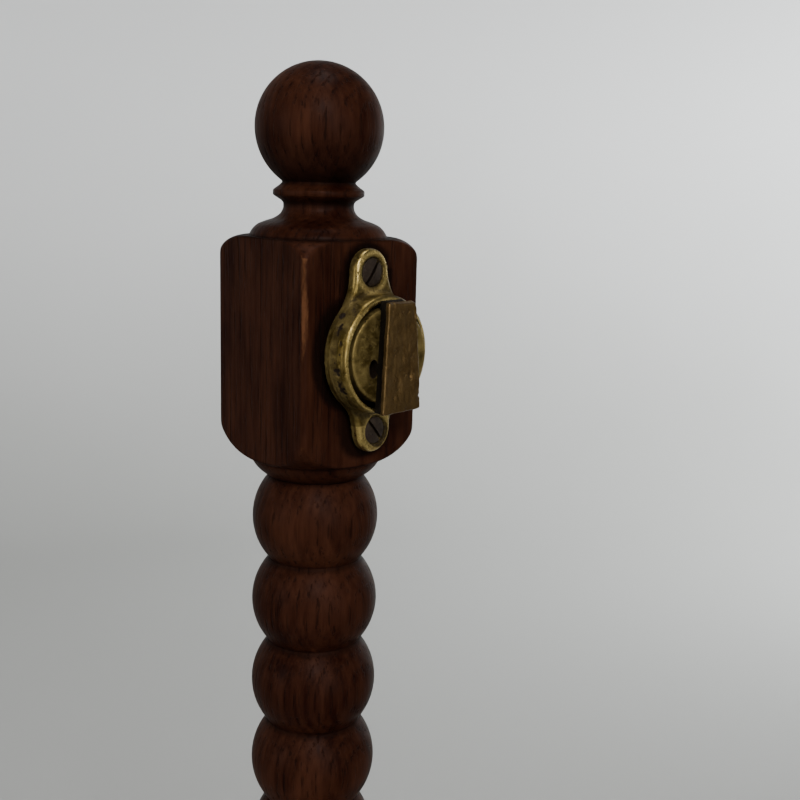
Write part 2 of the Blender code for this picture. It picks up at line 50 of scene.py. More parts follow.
# places read from the frame
postLow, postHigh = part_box("post_left")
postX = -(postLow.x + postHigh.x) / 2  # a post's axis from the middle
faceX = -postHigh.x  # the blocks' inner faces
tongueLow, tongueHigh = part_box("swivel_tongue_left")
pivotY = (tongueLow.y + tongueHigh.y) / 2
pivotZ = (tongueLow.z + tongueHigh.z) / 2
datumZ = postHigh.z - 27.35 * mm  # datum of the turnings, under the ball
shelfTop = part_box("lower_shelf")[1].z
topLow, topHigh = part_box("top_cleat_left")
topZ = (topLow.z + topHigh.z) / 2
topEnd = topLow.x + faceX  # from a block's inner face to the top's end


def addNode(tree, kind, **values):
    node = tree.nodes.new(kind)
    for key, value in values.items():
        setattr(node, key, value)
    return node


def feed(tree, socket, value):
    # a link when the value is another node's output, or else a plain setting
    if isinstance(value, bpy.types.NodeSocket):
        tree.links.new(value, socket)
    elif value is not None:
        socket.default_value = value


def maths(tree, operation, first, second=None, third=None, clamp=False):
    node = addNode(tree, "ShaderNodeMath", operation=operation, use_clamp=clamp)
    for socket, value in zip(node.inputs, (first, second, third)):
        feed(tree, socket, value)
    return node.outputs[0]


def remap(tree, value, low, high, toLow=0.0, toHigh=1.0, smooth=False):
    node = addNode(tree, "ShaderNodeMapRange")
    node.interpolation_type = "SMOOTHSTEP" if smooth else "LINEAR"
    for socket, setting in zip(node.inputs, (value, low, high, toLow, toHigh)):
        feed(tree, socket, setting)
    return node.outputs[0]


def blendColour(tree, amount, first, second, mode="MIX"):
    node = addNode(tree, "ShaderNodeMix", data_type="RGBA", blend_type=mode, clamp_factor=True)
    feed(tree, node.inputs[0], amount)
    feed(tree, node.inputs[6], first)
    feed(tree, node.inputs[7], second)
    return node.outputs[2]


def stretched(tree, vector, scale, offset=(0, 0, 0)):
    node = addNode(tree, "ShaderNodeMapping")
    feed(tree, node.inputs["Vector"], vector)
    node.inputs["Scale"].default_value = scale
    node.inputs["Location"].default_value = offset
    return node.outputs[0]


def cloud(tree, vector, scale, detail=2.0, roughness=0.5, distortion=0.0):
    node = addNode(tree, "ShaderNodeTexNoise")
    feed(tree, node.inputs["Vector"], vector)
    node.inputs["Scale"].default_value = scale
    node.inputs["Detail"].default_value = detail
    node.inputs["Roughness"].default_value = roughness
    node.inputs["Distortion"].default_value = distortion
    return node.outputs["Fac"]


def newGroup(name, inputs, outputs):
    group = bpy.data.node_groups.new(name, "ShaderNodeTree")
    kinds = {"f": "NodeSocketFloat", "c": "NodeSocketColor", "v": "NodeSocketVector"}
    for label, kind, value in inputs:
        socket = group.interface.new_socket(label, in_out="INPUT", socket_type=kinds[kind])
        if value is not None:
            socket.default_value = value
    for label, kind in outputs:
        group.interface.new_socket(label, in_out="OUTPUT", socket_type=kinds[kind])
    return group, group.nodes.new("NodeGroupInput").outputs, group.nodes.new("NodeGroupOutput").inputs


def buildOakFigure():
    # growth rings round a pith off to one side, open pores and ray streaks; grain along Z
    group, given, out = newGroup("oakFigure", [
        ("Vector", "v", None), ("Dark", "c", (0.02, 0.008, 0.004, 1)),
        ("Light", "c", (0.06, 0.022, 0.01, 1)), ("Ring Spacing", "f", 0.0024),
        ("Pore Depth", "f", 0.5), ("Wear", "f", 0.0), ("Wear Colour", "c", (0.2, 0.07, 0.02, 1)),
        ("Grime_and_shade", "f", 0.0)], [("Color", "c"), ("Roughness", "f"), ("Height", "f")])
    vector = given["Vector"]
    sway = cloud(group, stretched(group, vector, (18, 18, 3.5)), 1.0, 3)
    apart = addNode(group, "ShaderNodeSeparateXYZ")
    feed(group, apart.inputs[0], vector)
    across = maths(group, "ADD", apart.outputs[0], 0.043)
    along = maths(group, "ADD", apart.outputs[1], 0.021)
    reach = maths(group, "SQRT", maths(group, "ADD", maths(group, "MULTIPLY", across, across),
                                       maths(group, "MULTIPLY", along, along)))
    swayed = maths(group, "MULTIPLY_ADD", sway, 0.006, reach)
    rings = maths(group, "FRACT", maths(group, "DIVIDE", swayed, given["Ring Spacing"]))
    early = remap(group, rings, 0.0, 0.55, 1.0, 0.0, True)  # porous start of each year
    late = remap(group, rings, 0.86, 1.0, 0.0, 1.0, True)
    band = maths(group, "MAXIMUM", early, late)
    fine = cloud(group, stretched(group, vector, (1350, 1350, 80)), 1.0, 2, 0.6)
    streak = cloud(group, stretched(group, vector, (640, 640, 50)), 1.0, 4, 0.66)
    tone = cloud(group, stretched(group, vector, (95, 95, 30)), 1.0, 3, 0.6)
    pores = remap(group, maths(group, "MULTIPLY_ADD", band, 0.10, fine), 0.61, 0.73, 0, 1, True)
    rays = remap(group, cloud(group, stretched(group, vector, (900, 240, 60), (3, 7, 1)), 1.0, 1),
                 0.66, 0.76, 0, 1, True)
    lightness = maths(group, "ADD", remap(group, streak, 0.32, 0.68, 0.10, 0.62),
                      remap(group, tone, 0.32, 0.68, -0.22, 0.45), clamp=True)
    lightness = maths(group, "MULTIPLY_ADD", band, -0.12, lightness, clamp=True)
    lightness = maths(group, "MULTIPLY_ADD", rays, 0.10, lightness, clamp=True)
    body = blendColour(group, lightness, given["Dark"], given["Light"])
    poreDark = maths(group, "MULTIPLY", pores, given["Pore Depth"], clamp=True)
    body = blendColour(group, poreDark, body, (0.0030, 0.0012, 0.0008, 1))
    patchy = cloud(group, stretched(group, vector, (420, 420, 110)), 1.0, 4, 0.7)
    worn = remap(group, maths(group, "MULTIPLY_ADD", patchy, 1.5, given["Wear"]), 1.24, 1.70,
                 0, 1, True)
    body = blendColour(group, worn, body, given["Wear Colour"])
    # grime and painted shade from the mask go nearly black
    dirtAndShadeAmount = maths(group, "MULTIPLY", given["Grime_and_shade"], 0.85, clamp=True)
    body = blendColour(group, dirtAndShadeAmount, body, (0.0025, 0.0012, 0.0008, 1))
    feed(group, out["Color"], body)
    gloss = maths(group, "MULTIPLY_ADD", poreDark, 0.22,
                  remap(group, tone, 0.3, 0.7, 0.36, 0.50))
    gloss = maths(group, "MULTIPLY_ADD", dirtAndShadeAmount, 0.25, gloss)
    feed(group, out["Roughness"], maths(group, "MULTIPLY_ADD", worn, 0.08, gloss, clamp=True))
    height = maths(group, "MULTIPLY_ADD", pores, -0.6, maths(group, "MULTIPLY", streak, 0.35))
    feed(group, out["Height"], maths(group, "MULTIPLY_ADD", band, -0.12, height))
    return group


def buildAgedMetal():
    # rubbed bright where handled, dull in between, dark dirt and casting pits in the hollows, and
    # painted shade in the gaps, bore and holes
    group, given, out = newGroup("agedMetal", [
        ("Vector", "v", None), ("Bright", "c", (0.6, 0.45, 0.17, 1)),
        ("Dull", "c", (0.2, 0.14, 0.05, 1)), ("Dirt_and_shade", "c", (0.02, 0.014, 0.007, 1)),
        ("Wear", "f", 0.0), ("Grime_and_shade", "f", 0.0), ("Pitting", "f", 0.5)],
        [("Color", "c"), ("Roughness", "f"), ("Metallic", "f"), ("Height", "f")])
    vector = given["Vector"]
    patch = cloud(group, vector, 260, 4, 0.6, 0.4)
    fine = cloud(group, vector, 1500, 3, 0.6)
    specks = remap(group, fine, 0.56, 0.72, 0.0, 0.22)
    rub = maths(group, "MULTIPLY_ADD", given["Wear"], 0.8,
                maths(group, "ADD", remap(group, patch, 0.38, 0.68, 0.0, 0.34), specks),
                clamp=True)
    body = blendColour(group, rub, given["Dull"], given["Bright"])
    pitNoise = addNode(group, "ShaderNodeTexVoronoi", feature="F1")
    feed(group, pitNoise.inputs["Vector"], vector)
    pitNoise.inputs["Scale"].default_value = 620
    pits = remap(group, pitNoise.outputs["Distance"], 0.12, 0.26, 1, 0, True)
    sparse = remap(group, patch, 0.42, 0.56, 1, 0, True)
    pits = maths(group, "MULTIPLY", maths(group, "MULTIPLY", pits, sparse), given["Pitting"])
    mottled = remap(group, fine, 0.4, 0.66, 0.0, 1.0, True)
    dirtAndShadeAmount = maths(group, "MULTIPLY", given["Grime_and_shade"],
                  maths(group, "MULTIPLY_ADD", mottled, 0.5, 0.65), clamp=True)
    # the darkest mask values go fully dark: painted shade in the gaps, bore and holes, and dirt in
    # the deepest pits
    fullyDark = remap(group, given["Grime_and_shade"], 0.88, 0.98, 0, 1, True)
    dirtAndShadeAmount = maths(group, "MAXIMUM", maths(group, "MAXIMUM", dirtAndShadeAmount, pits), fullyDark)
    feed(group, out["Color"], blendColour(group, dirtAndShadeAmount, body, given["Dirt_and_shade"]))
    gloss = maths(group, "MULTIPLY_ADD", rub, -0.18, remap(group, fine, 0.3, 0.7, 0.34, 0.54))
    feed(group, out["Roughness"], maths(group, "MULTIPLY_ADD", dirtAndShadeAmount, 0.35, gloss, clamp=True))
    feed(group, out["Metallic"], maths(group, "MULTIPLY_ADD", dirtAndShadeAmount, -1.0, 1.0, clamp=True))
    height = maths(group, "MULTIPLY_ADD", pits, -0.9, maths(group, "MULTIPLY", patch, 0.5))
    feed(group, out["Height"], maths(group, "MULTIPLY_ADD", fine, 0.18, height))
    return group


oakFigure = buildOakFigure()
agedMetal = buildAgedMetal()
print("shared effects built")


oakLook = {
    "dark": (0.0105, 0.0026, 0.0013, 1),
    "light": (0.0400, 0.0135, 0.0066, 1),
    "wear": (0.090, 0.036, 0.015, 1),
    "bump": 0.00026,
    "shine": 0.025,
}


def startMaterial(name):
    material = bpy.data.materials.new(name)
    material.use_nodes = True
    return material, material.node_tree, material.node_tree.nodes["Principled BSDF"]


def maskOf(tree, label):
    return addNode(tree, "ShaderNodeAttribute", attribute_name=label).outputs["Fac"]


def objectSpot(tree):
    return addNode(tree, "ShaderNodeTexCoord").outputs["Object"]


def placeEffect(tree, group, vector, settings):
    effect = addNode(tree, "ShaderNodeGroup", node_tree=group)
    feed(tree, effect.inputs["Vector"], vector)
    for setting, value in settings.items():
        feed(tree, effect.inputs[setting], value)
    for mask in ("Wear", "Grime_and_shade"):
        feed(tree, effect.inputs[mask], maskOf(tree, mask.lower()))
    return effect


def wireSurface(tree, shader, effect, strength, depth):
    # the effect's outputs reach the shader, its height through a bump
    for output, socket in (("Color", "Base Color"), ("Roughness", "Roughness"),
                           ("Metallic", "Metallic")):
        if output in effect.outputs:
            feed(tree, shader.inputs[socket], effect.outputs[output])
    addBump(tree, shader, effect.outputs["Height"], strength, depth)


def addBump(tree, shader, height, strength, depth):
    bump = addNode(tree, "ShaderNodeBump")
    bump.inputs["Strength"].default_value = strength
    bump.inputs["Distance"].default_value = depth
    feed(tree, bump.inputs["Height"], height)
    feed(tree, shader.inputs["Normal"], bump.outputs[0])


def makeOak(name, centre, grain="z", spacing=0.0024, look=oakLook):
    # the Mapping node puts the pattern's origin in the piece and its grain along Z
    material, tree, shader = startMaterial(name)
    turns = {"z": (0, 0, 0), "x": (0, math.radians(90), 0), "y": (math.radians(90), 0, 0)}
    place = addNode(tree, "ShaderNodeMapping", vector_type="TEXTURE")
    place.inputs["Location"].default_value = centre
    place.inputs["Rotation"].default_value = turns[grain]
    feed(tree, place.inputs["Vector"], objectSpot(tree))
    figure = placeEffect(tree, oakFigure, place.outputs[0], {
        "Dark": look["dark"], "Light": look["light"], "Wear Colour": look["wear"],
        "Ring Spacing": spacing})
    wireSurface(tree, shader, figure, 0.55, look["bump"])
    shader.inputs["Specular IOR Level"].default_value = look["shine"]
    return material


metalLooks = {
    "agedBrass": {"bright": (0.58, 0.43, 0.150, 1), "dull": (0.066, 0.044, 0.010, 1),
                  "dirt_and_shade": (0.008, 0.0042, 0.002, 1), "pitting": 0.8, "bump": 0.00022},
    "bronzedTongue": {"bright": (0.24, 0.155, 0.066, 1), "dull": (0.095, 0.056, 0.020, 1),
                      "dirt_and_shade": (0.006, 0.004, 0.002, 1), "pitting": 0.35, "bump": 0.00055},
    "brownedSteel": {"bright": (0.15, 0.115, 0.085, 1), "dull": (0.055, 0.039, 0.030, 1),
                     "dirt_and_shade": (0.008, 0.006, 0.005, 1), "pitting": 0.6, "bump": 0.00016},
}


def makeMetal(name):
    look = metalLooks[name]
    material, tree, shader = startMaterial(name)
    aged = placeEffect(tree, agedMetal, objectSpot(tree), {
        "Bright": look["bright"], "Dull": look["dull"], "Dirt_and_shade": look["dirt_and_shade"],
        "Pitting": look["pitting"]})
    wireSurface(tree, shader, aged, 0.6, look["bump"])
    shader.inputs["Specular IOR Level"].default_value = 0.12  # only the dirt and painted shade show it
    return material


agedBrass = makeMetal("agedBrass")
bronzedTongue = makeMetal("bronzedTongue")
brownedSteel = makeMetal("brownedSteel")


leatherLook = {"dark": (0.05, 0.024, 0.012, 1), "light": (0.16, 0.08, 0.04, 1),
               "grain": 1400, "mottle": 220, "bump": 0.0002}


def makeLeather():
    material, tree, shader = startMaterial("packingLeather")
    spot = objectSpot(tree)
    cells = addNode(tree, "ShaderNodeTexVoronoi", feature="F1")
    feed(tree, cells.inputs["Vector"], spot)
    cells.inputs["Scale"].default_value = leatherLook["grain"]
    tone = cloud(tree, spot, leatherLook["mottle"], 3)
    feed(tree, shader.inputs["Base Color"],
         blendColour(tree, tone, leatherLook["dark"], leatherLook["light"]))
    feed(tree, shader.inputs["Roughness"], remap(tree, tone, 0.3, 0.7, 0.62, 0.85))
    addBump(tree, shader, cells.outputs["Distance"], 0.5, leatherLook["bump"])
    return material


packingLeather = makeLeather()


def finishPiece(name, bm, materials, body, nodes, masks=None, sharp=38, planed=False):
    # wear, and grime with painted shade, are written on the points, for the materials to read
    bm.normal_update()
    for label in ("wear", "grime_and_shade"):
        layer = bm.verts.layers.float.get(label) or bm.verts.layers.float.new(label)
        if masks and label in masks:
            for vert in bm.verts:
                vert[layer] = max(0.0, min(1.0, masks[label](vert)))
    mesh = bpy.data.meshes.new(name)
    bm.to_mesh(mesh)
    bm.free()
    piece = bpy.data.objects.new(name, mesh)
    bpy.context.scene.collection.objects.link(piece)
    for material in materials:
        mesh.materials.append(material)
    mesh.shade_smooth()
    mesh.set_sharp_from_angle(angle=math.radians(sharp))
    if planed:  # keeps the broad faces flat beside their rounded edges
        level = piece.modifiers.new("Planed", "WEIGHTED_NORMAL")
        level.weight = 100
        level.keep_sharp = True
    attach(piece, body)
    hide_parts(*nodes)
    return piece


def arcPoints(centreR, centreZ, radius, start, end, steps, tall=None):
    tall = tall or radius
    turns = [math.radians(start + (end - start) * i / steps) for i in range(steps + 1)]
    return [(centreR + radius * math.cos(t), centreZ + tall * math.sin(t)) for t in turns]


def easePoints(points, steps):
    # a smooth curve through the given points
    curve = []
    spare = [points[0]] + list(points) + [points[-1]]
    for a, b, c, d in zip(spare, spare[1:], spare[2:], spare[3:]):
        for i in range(steps):
            t = i / steps
            curve.append(tuple(
                0.5 * (2 * q + (r - p) * t + (2 * p - 5 * q + 4 * r - s) * t * t
                       + (3 * q - p - 3 * r + s) * t ** 3) for p, q, r, s in zip(a, b, c, d)))
    return curve + [points[-1]]


def spinSolid(profile, segments):
    # profile of (radius, height) from top to bottom, both ends on the axis
    bm = bmesh.new()
    points = [bm.verts.new((radius, 0, height)) for radius, height in profile]
    edges = [bm.edges.new(pair) for pair in zip(points, points[1:])]
    bmesh.ops.spin(bm, geom=points + edges, axis=(0, 0, 1), cent=(0, 0, 0), angle=math.tau,
                   steps=segments, use_merge=True)
    bmesh.ops.remove_doubles(bm, verts=bm.verts, dist=1e-7)
    bmesh.ops.recalc_face_normals(bm, faces=bm.faces)
    return bm


def place(bm, matrix):
    bmesh.ops.transform(bm, matrix=matrix, verts=bm.verts)
    if matrix.determinant() < 0:
        bmesh.ops.reverse_faces(bm, faces=bm.faces)
    return bm


def onFace(side, height=None):
    # local X stands off the block's inner face, Y runs back and Z up; the right one is mirrored
    return (Matrix.Translation((side * faceX, pivotY, pivotZ if height is None else height))
            @ Matrix.Diagonal((-side, 1, 1, 1)))


lieAlongX = Matrix.Rotation(math.radians(90), 4, "Y")


def softMin(a, b, soft):
    gap = max(soft - abs(a - b), 0.0) / soft
    return min(a, b) - gap * gap * soft * 0.25


def bevelEdges(bm, wanted, width, segments):
    edges = [edge for edge in bm.edges if wanted(edge)]
    bmesh.ops.bevel(bm, geom=edges, offset=width, segments=segments, profile=0.5,
                    affect="EDGES", material=-1)


def blockSolid(low, high):
    bm = bmesh.new()
    bmesh.ops.create_cube(bm, size=1)
    low, high = Vector(low), Vector(high)
    return place(bm, Matrix.Translation((low + high) / 2) @ Matrix.Diagonal((*(high - low), 1)))


def addPart(bm, other):
    # another solid goes into the same mesh
    spare = bpy.data.meshes.new("spare")
    other.to_mesh(spare)
    other.free()
    bm.from_mesh(spare)
    bpy.data.meshes.remove(spare)


def extruded(outline, low, high, toWorld):
    # an outline of (u, v) carried from one depth to another; toWorld makes (u, v, depth) a place
    bm = bmesh.new()
    face = bm.faces.new([bm.verts.new(toWorld(u, v, low)) for u, v in outline])
    grown = bmesh.ops.extrude_face_region(bm, geom=[face])["geom"]
    step = Vector(toWorld(0, 0, high)) - Vector(toWorld(0, 0, low))
    bmesh.ops.translate(bm, vec=step,
                        verts=[item for item in grown if isinstance(item, bmesh.types.BMVert)])
    bmesh.ops.recalc_face_normals(bm, faces=bm.faces)
    return bm


postShape = {
    "worn": {(1, -1): 1.0, (-1, -1): 0.35, (1, 1): 0.3, (-1, 1): 0.25},  # each arris
    "ball": 16.85, "ballZ": 10.5,
    "beadRadii": (17.3, 17.4, 17.5, 17.55),  # the top four, as the hand turned them
    "pitch": 24.1, "firstWaist": -82.0, "count": 18,
    "square": 19.0, "edgeRound": 2.0, "shoulderSoft": 0.7, "roundReach": 18.31,
    "grooves": ((-3.6, 1.0), (-8.9, 1.4), (-17.5, 0.7), (-76.6, 0.8)),  # height, width
    "fittingShadowAndDirt": {"drop": 46.1, "forward": 1.1, "ring": 15.5, "spread": 21.0},  # painted shadow and dirt round the fitting
    "segments": 128,
}


def beadRun(top, pitch, radii, steps, squeeze=1.0):
    # a run of balls that cut into one another, with a narrow rounded waist between them
    points = []
    span = pitch / 2 - 0.35 * mm
    for index, radius in enumerate(radii):
        middle = top - (index + 0.5) * pitch
        for i in range(steps + 1):
            rise = span * math.cos(math.pi * i / steps)
            points.append((math.sqrt(radius ** 2 - (rise * squeeze) ** 2), middle + rise))
    return points


def postProfile(seed):
    chance = random.Random(seed)
    shape = postShape
    ball = shape["ball"]
    points = [(ball * math.sin(math.radians(a)), shape["ballZ"] + ball * math.cos(math.radians(a)))
              for a in range(0, 147, 3)]
    points += [(9.65, -3.45), (9.75, -3.75)]
    points += easePoints([(10.4, -4.35), (11.5, -5.15), (11.9, -5.45)], 3)
    points += [(12.05, -5.75), (12.05, -6.75), (11.85, -7.05), (10.7, -7.75), (9.8, -8.3)]
    points += easePoints([(9.35, -8.9), (9.32, -9.9), (9.6, -10.9), (10.4, -12.0), (12.0, -13.0),
                          (14.2, -13.75), (16.0, -14.55), (17.2, -15.6), (17.9, -16.6),
                          (18.15, -17.25)], 5)
    points += [(18.3, -17.55)]
    points += arcPoints(19.4, -25.6, 8.1, 84, 0, 26)  # upper shoulder of the block
    points += [(27.5, -25.6 - 0.96 * i) for i in range(1, 40)]
    points += arcPoints(13.9, -64.0, 13.6, 0, -69, 34)  # lower shoulder
    points += arcPoints(0, -75.5, 18.0, -8, -42.0, 14, 9.6)
    mmPoints = [(r * mm, datumZ + z * mm) for r, z in points]
    radii = [r * mm for r in shape["beadRadii"]]
    radii += [(17.4 + chance.uniform(-0.12, 0.12)) * mm for _ in range(shape["count"] - 4)]
    start = datumZ + shape["firstWaist"] * mm
    mmPoints += beadRun(start, shape["pitch"] * mm, radii, 22)
    low = start - shape["count"] * shape["pitch"] * mm
    mmPoints += [(r * mm, low + z * mm) for r, z in arcPoints(0, -6.2, 18.0, 42, 8, 12, 9.6)]
    mmPoints += [(r * mm, low + z * mm) for r, z in arcPoints(14.5, -19.0, 13.0, 70, 0, 30)]
    base = postLow.z + 28.0 * mm
    mmPoints += [(27.5 * mm, base + 0.5 * mm), (27.0 * mm, base), (11 * mm, base),
                 (11 * mm, postLow.z + 1 * mm), (10 * mm, postLow.z), (0, postLow.z)]
    return mmPoints


def inHollows(level):
    # 1 in the bottom of a waist or a groove of the turning, 0 away from it
    shape = postShape
    hollow = 0.0
    if level < shape["firstWaist"] + 2:
        phase = ((shape["firstWaist"] - level) % shape["pitch"]) / shape["pitch"]
        hollow = max(0.0, 1 - min(phase, 1 - phase) / 0.055)
    for groove, width in shape["grooves"]:
        hollow = max(hollow, 1 - abs(level - groove) / width)
    return max(0.0, min(1.0, hollow))


def postDirtAndShade(x, y, level, side):
    # dirt and painted shade in the waists and grooves, painted shade under the ball, painted shadow
    # and dirt round the fitting
    shape = postShape
    dirt_and_shade = 0.8 * inHollows(level)
    if -3.5 < level < 9:  # the underside of the ball, painted shade darker towards the bottom
        dirt_and_shade = max(dirt_and_shade, 0.75 * (9 - level) / 12.5)
    if -side * x > 18.5 * mm and level > -80:  # the block's face round the fitting: painted shadow and dirt, wider on the front side
        fittingShadowAndDirt = shape["fittingShadowAndDirt"]
        up = level + fittingShadowAndDirt["drop"]
        over = (y - pivotY) / mm + fittingShadowAndDirt["forward"]
        beyond = abs(up) - fittingShadowAndDirt["spread"]
        atEar = abs(over) - 6.5 if beyond < 0 else math.hypot(over, beyond) - 6
        away = max(min(math.hypot(over, up) - fittingShadowAndDirt["ring"], max(atEar, 0)), 0)
        dirt_and_shade = max(dirt_and_shade, min(1.0, 1.5 - away / (1.3 if over < 0 else 0.9)))
    return dirt_and_shade


def makePost(label, side, seed):
    shape = postShape
    bm = spinSolid(postProfile(seed), shape["segments"])
    square = shape["square"] * mm
    edge = shape["edgeRound"] * mm
    wear = bm.verts.layers.float.new("wear")
    grime_and_shade = bm.verts.layers.float.new("grime_and_shade")
    for vert in bm.verts:
        x, y, z = vert.co
        radius = math.hypot(x, y)
        level = (z - datumZ) / mm
        if radius < 1e-6:
            continue
        turn = math.atan2(y, x)
        turn += 0.165 * math.sin(4 * turn)  # closer columns at the block's corners
        across, back = math.cos(turn), math.sin(turn)
        if radius > shape["roundReach"] * mm:  # the block: the round is cut back to a square
            reach = softMin(square / max(abs(across), 1e-6), square / max(abs(back), 1e-6), edge)
            atCorner = max(0.0, 1 - (abs(abs(across) - abs(back)) / 0.085) ** 2) * (radius > reach)
            arris = shape["worn"][(1 if across * side < 0 else -1, 1 if back > 0 else -1)]
            rubbed = math.exp(-((level + 33) / 13) ** 2) + 0.45 * (level < -500)
            atShoulder = max(0.0, 1 - abs(radius - reach) / (0.8 * mm))
            vert[wear] = min(1.0, atCorner * arris * (0.34 + 0.46 * rubbed) + 0.40 * atShoulder)
            radius = softMin(radius, reach, shape["shoulderSoft"] * mm)
        vert.co = (radius * across, radius * back, z)
        # hand turning leaves each bead a little uneven
        uneven = 1 + 0.0045 * noise.noise(Vector((across * 1.3, back * 1.3, level * 0.045 + seed)))
        if radius < 18.3 * mm and level > -19.5 or level < -76.5:
            vert.co.x *= uneven
            vert.co.y *= uneven
        vert[grime_and_shade] = postDirtAndShade(x, y, level, side)
    place(bm, Matrix.Translation((side * postX, 0, 0)))
    bmesh.ops.recalc_face_normals(bm, faces=bm.faces)
    oak = makeOak("post%sOak" % label.title(), (side * (postX + 0.004), 0.003, 0.2 * side))
    finishPiece("post" + label.title(), bm, [oak], "stand", ["post_" + label],
                sharp=48)


makePost("left", left, 3)
makePost("right", right, 8)
print("posts turned")


housingShape = {
    "ringBase": 15.6, "ringLip": 7.1, "bore": 13.95, "ear": 5.9, "earThick": 3.0,
    "earRound": 1.1, "seat": 14.9, "sink": 3.75, "shankHole": 2.1,
    "spread": 21.0, "turn": 4.25, "lean": 5.6, "lift": 0.75, "forward": 1.1, "voxel": 0.3,
    "flare": 13.0, "outOfTrue": Vector((0, -0.0011, 0.0009)),
    "pits": ((-2.0, 4.3, 1.5, 1.0), (-6.6, 4.6, 2.3, 1.0), (5.4, 5.2, 0.6, 0.4),
             (8.6, 3.6, 1.6, 0.9)),  # height, depth, length, width
}


def housingOutline():
    # each ear flares into the ring through a wide hollow curve that touches both
    shape = housingShape
    ear, ring, spread, hollow = shape["ear"], shape["ringBase"], shape["spread"], shape["flare"]
    up = ((ring + hollow) ** 2 - (ear + hollow) ** 2 + spread ** 2) / (2 * spread)
    side = math.sqrt((ring + hollow) ** 2 - up ** 2)
    leave = math.degrees(math.atan2(up - spread, side))
    meet = math.degrees(math.atan2(up, side))
    quarter = arcPoints(0, spread, ear, 90, leave, 10)
    quarter += arcPoints(side, up, hollow, 180 + leave, 180 + meet, 10)[1:]
    quarter += arcPoints(0, 0, ring, meet, 0, 12)[1:]
    rightHalf = quarter + [(x, -y) for x, y in reversed(quarter[:-1])]
    return rightHalf + [(-x, y) for x, y in reversed(rightHalf[1:-1])]


def toMesh(bm, name):
    mesh = bpy.data.meshes.new(name)
    bm.to_mesh(mesh)
    bm.free()
    thing = bpy.data.objects.new(name, mesh)
    bpy.context.scene.collection.objects.link(thing)
    return thing


def applied(thing):
    # the mesh as its modifiers leave it, with the helper object removed
    depsgraph = bpy.context.evaluated_depsgraph_get()
    mesh = bpy.data.meshes.new_from_object(thing.evaluated_get(depsgraph))
    bm = bmesh.new()
    bm.from_mesh(mesh)
    bpy.data.meshes.remove(mesh)
    bpy.data.objects.remove(thing, do_unlink=True)
    return bm


def drilled(bm, drills):
    # the solid with every drill's shape cut out of it
    blank = toMesh(bm, "blank")
    for drill in drills:
        cut = blank.modifiers.new("Drill", "BOOLEAN")
        cut.operation = "DIFFERENCE"
        cut.solver = "EXACT"
        cut.object = drill
    bm = applied(blank)
    for drill in drills:
        bpy.data.objects.remove(drill, do_unlink=True)
    return bm


def screwSpot(end, height=0.0):
    # a screw's place on the housing: the lower ear is cast a little out of true
    shape = housingShape
    spot = Matrix.Translation((height, 0, end * shape["spread"] * mm)) @ lieAlongX
    return Matrix.Translation(shape["outOfTrue"]) @ spot if end < 0 else spot


def ringProfile():
    shape = housingShape
    lip, bore, base = shape["ringLip"], shape["bore"], shape["ringBase"]
    points = [(0, lip * 0.5), (0, lip), (bore - 1, lip), (bore + 0.25, lip)]
    points += arcPoints(bore + 0.3, lip - 1.2, 1.2, 82, 0, 8)
    points += [(base, lip - 2.6), (base + 0.2, 3.0), (base, 0.0), (0, 0)]
    return [(radius * mm, height * mm) for radius, height in points]


def castHousing():
    # ears and ring are cast in one: their solids are fused and softened together
    shape = housingShape
    thick = shape["earThick"]
    outline = [(x * mm, y * mm) for x, y in housingOutline()]
    bm = extruded(outline, 0, thick * mm, lambda u, v, d: (d, u, v))
    bevelEdges(bm, lambda edge: all(v.co.x > (thick - 0.1) * mm for v in edge.verts),
               shape["earRound"] * mm, 4)
    addPart(bm, place(spinSolid(ringProfile(), 96), lieAlongX))
    solid = toMesh(bm, "housingBlank")
    fuse = solid.modifiers.new("Fuse", "REMESH")
    fuse.mode = "VOXEL"
    fuse.voxel_size = shape["voxel"] * mm
    bm = applied(solid)
    for _ in range(5):
        bmesh.ops.smooth_vert(bm, verts=bm.verts, factor=0.5, use_axis_x=True, use_axis_y=True,
                              use_axis_z=True)
    for vert in bm.verts:
        low = max(0.0, min(1.0, (-vert.co.z / mm - 11) / 8))
        vert.co += shape["outOfTrue"] * low
    bore, seat, lipBack = shape["bore"] * mm, shape["seat"] * mm, 2.6 * mm
    room = spinSolid([(0, 12 * mm), (bore, 12 * mm), (bore, lipBack), (seat, lipBack),
                      (seat, -3 * mm), (0, -3 * mm)], 96)
    drills = [toMesh(place(room, lieAlongX), "bore")]
    sinkRadius, shankRadius = shape["sink"] * mm, shape["shankHole"] * mm
    for end in (1, -1):
        sink = spinSolid([(0, 6 * mm), (sinkRadius, 6 * mm), (sinkRadius, 2.5 * mm),
                          (shankRadius, 1.0 * mm), (shankRadius, -3 * mm), (0, -3 * mm)], 40)
        drills.append(toMesh(place(sink, screwSpot(end)), "sink"))
    return drilled(bm, drills)


def earDistance(y, z):
    # from the nearer screw, in mm
    spread = housingShape["spread"] * mm
    return min(math.hypot(y, z - spread), math.hypot(y, z + spread)) / mm


def housingWear(vert):
    shape = housingShape
    x, y, z = vert.co
    radius, fromScrew = math.hypot(y, z) / mm, earDistance(y, z)
    onLip = max(0.0, 1 - abs(radius - shape["bore"] - 0.3) / 0.7)
    onLip *= x > (shape["ringLip"] - 1) * mm
    earEdge = max(0.0, 1 - abs(fromScrew - shape["ear"] + 0.9)) * (x > 1.2 * mm)
    lowEar = 0.55 if z < -18 * mm and fromScrew > 3.9 else 0.0
    return max(onLip, earEdge * (radius > 15.5), lowEar)


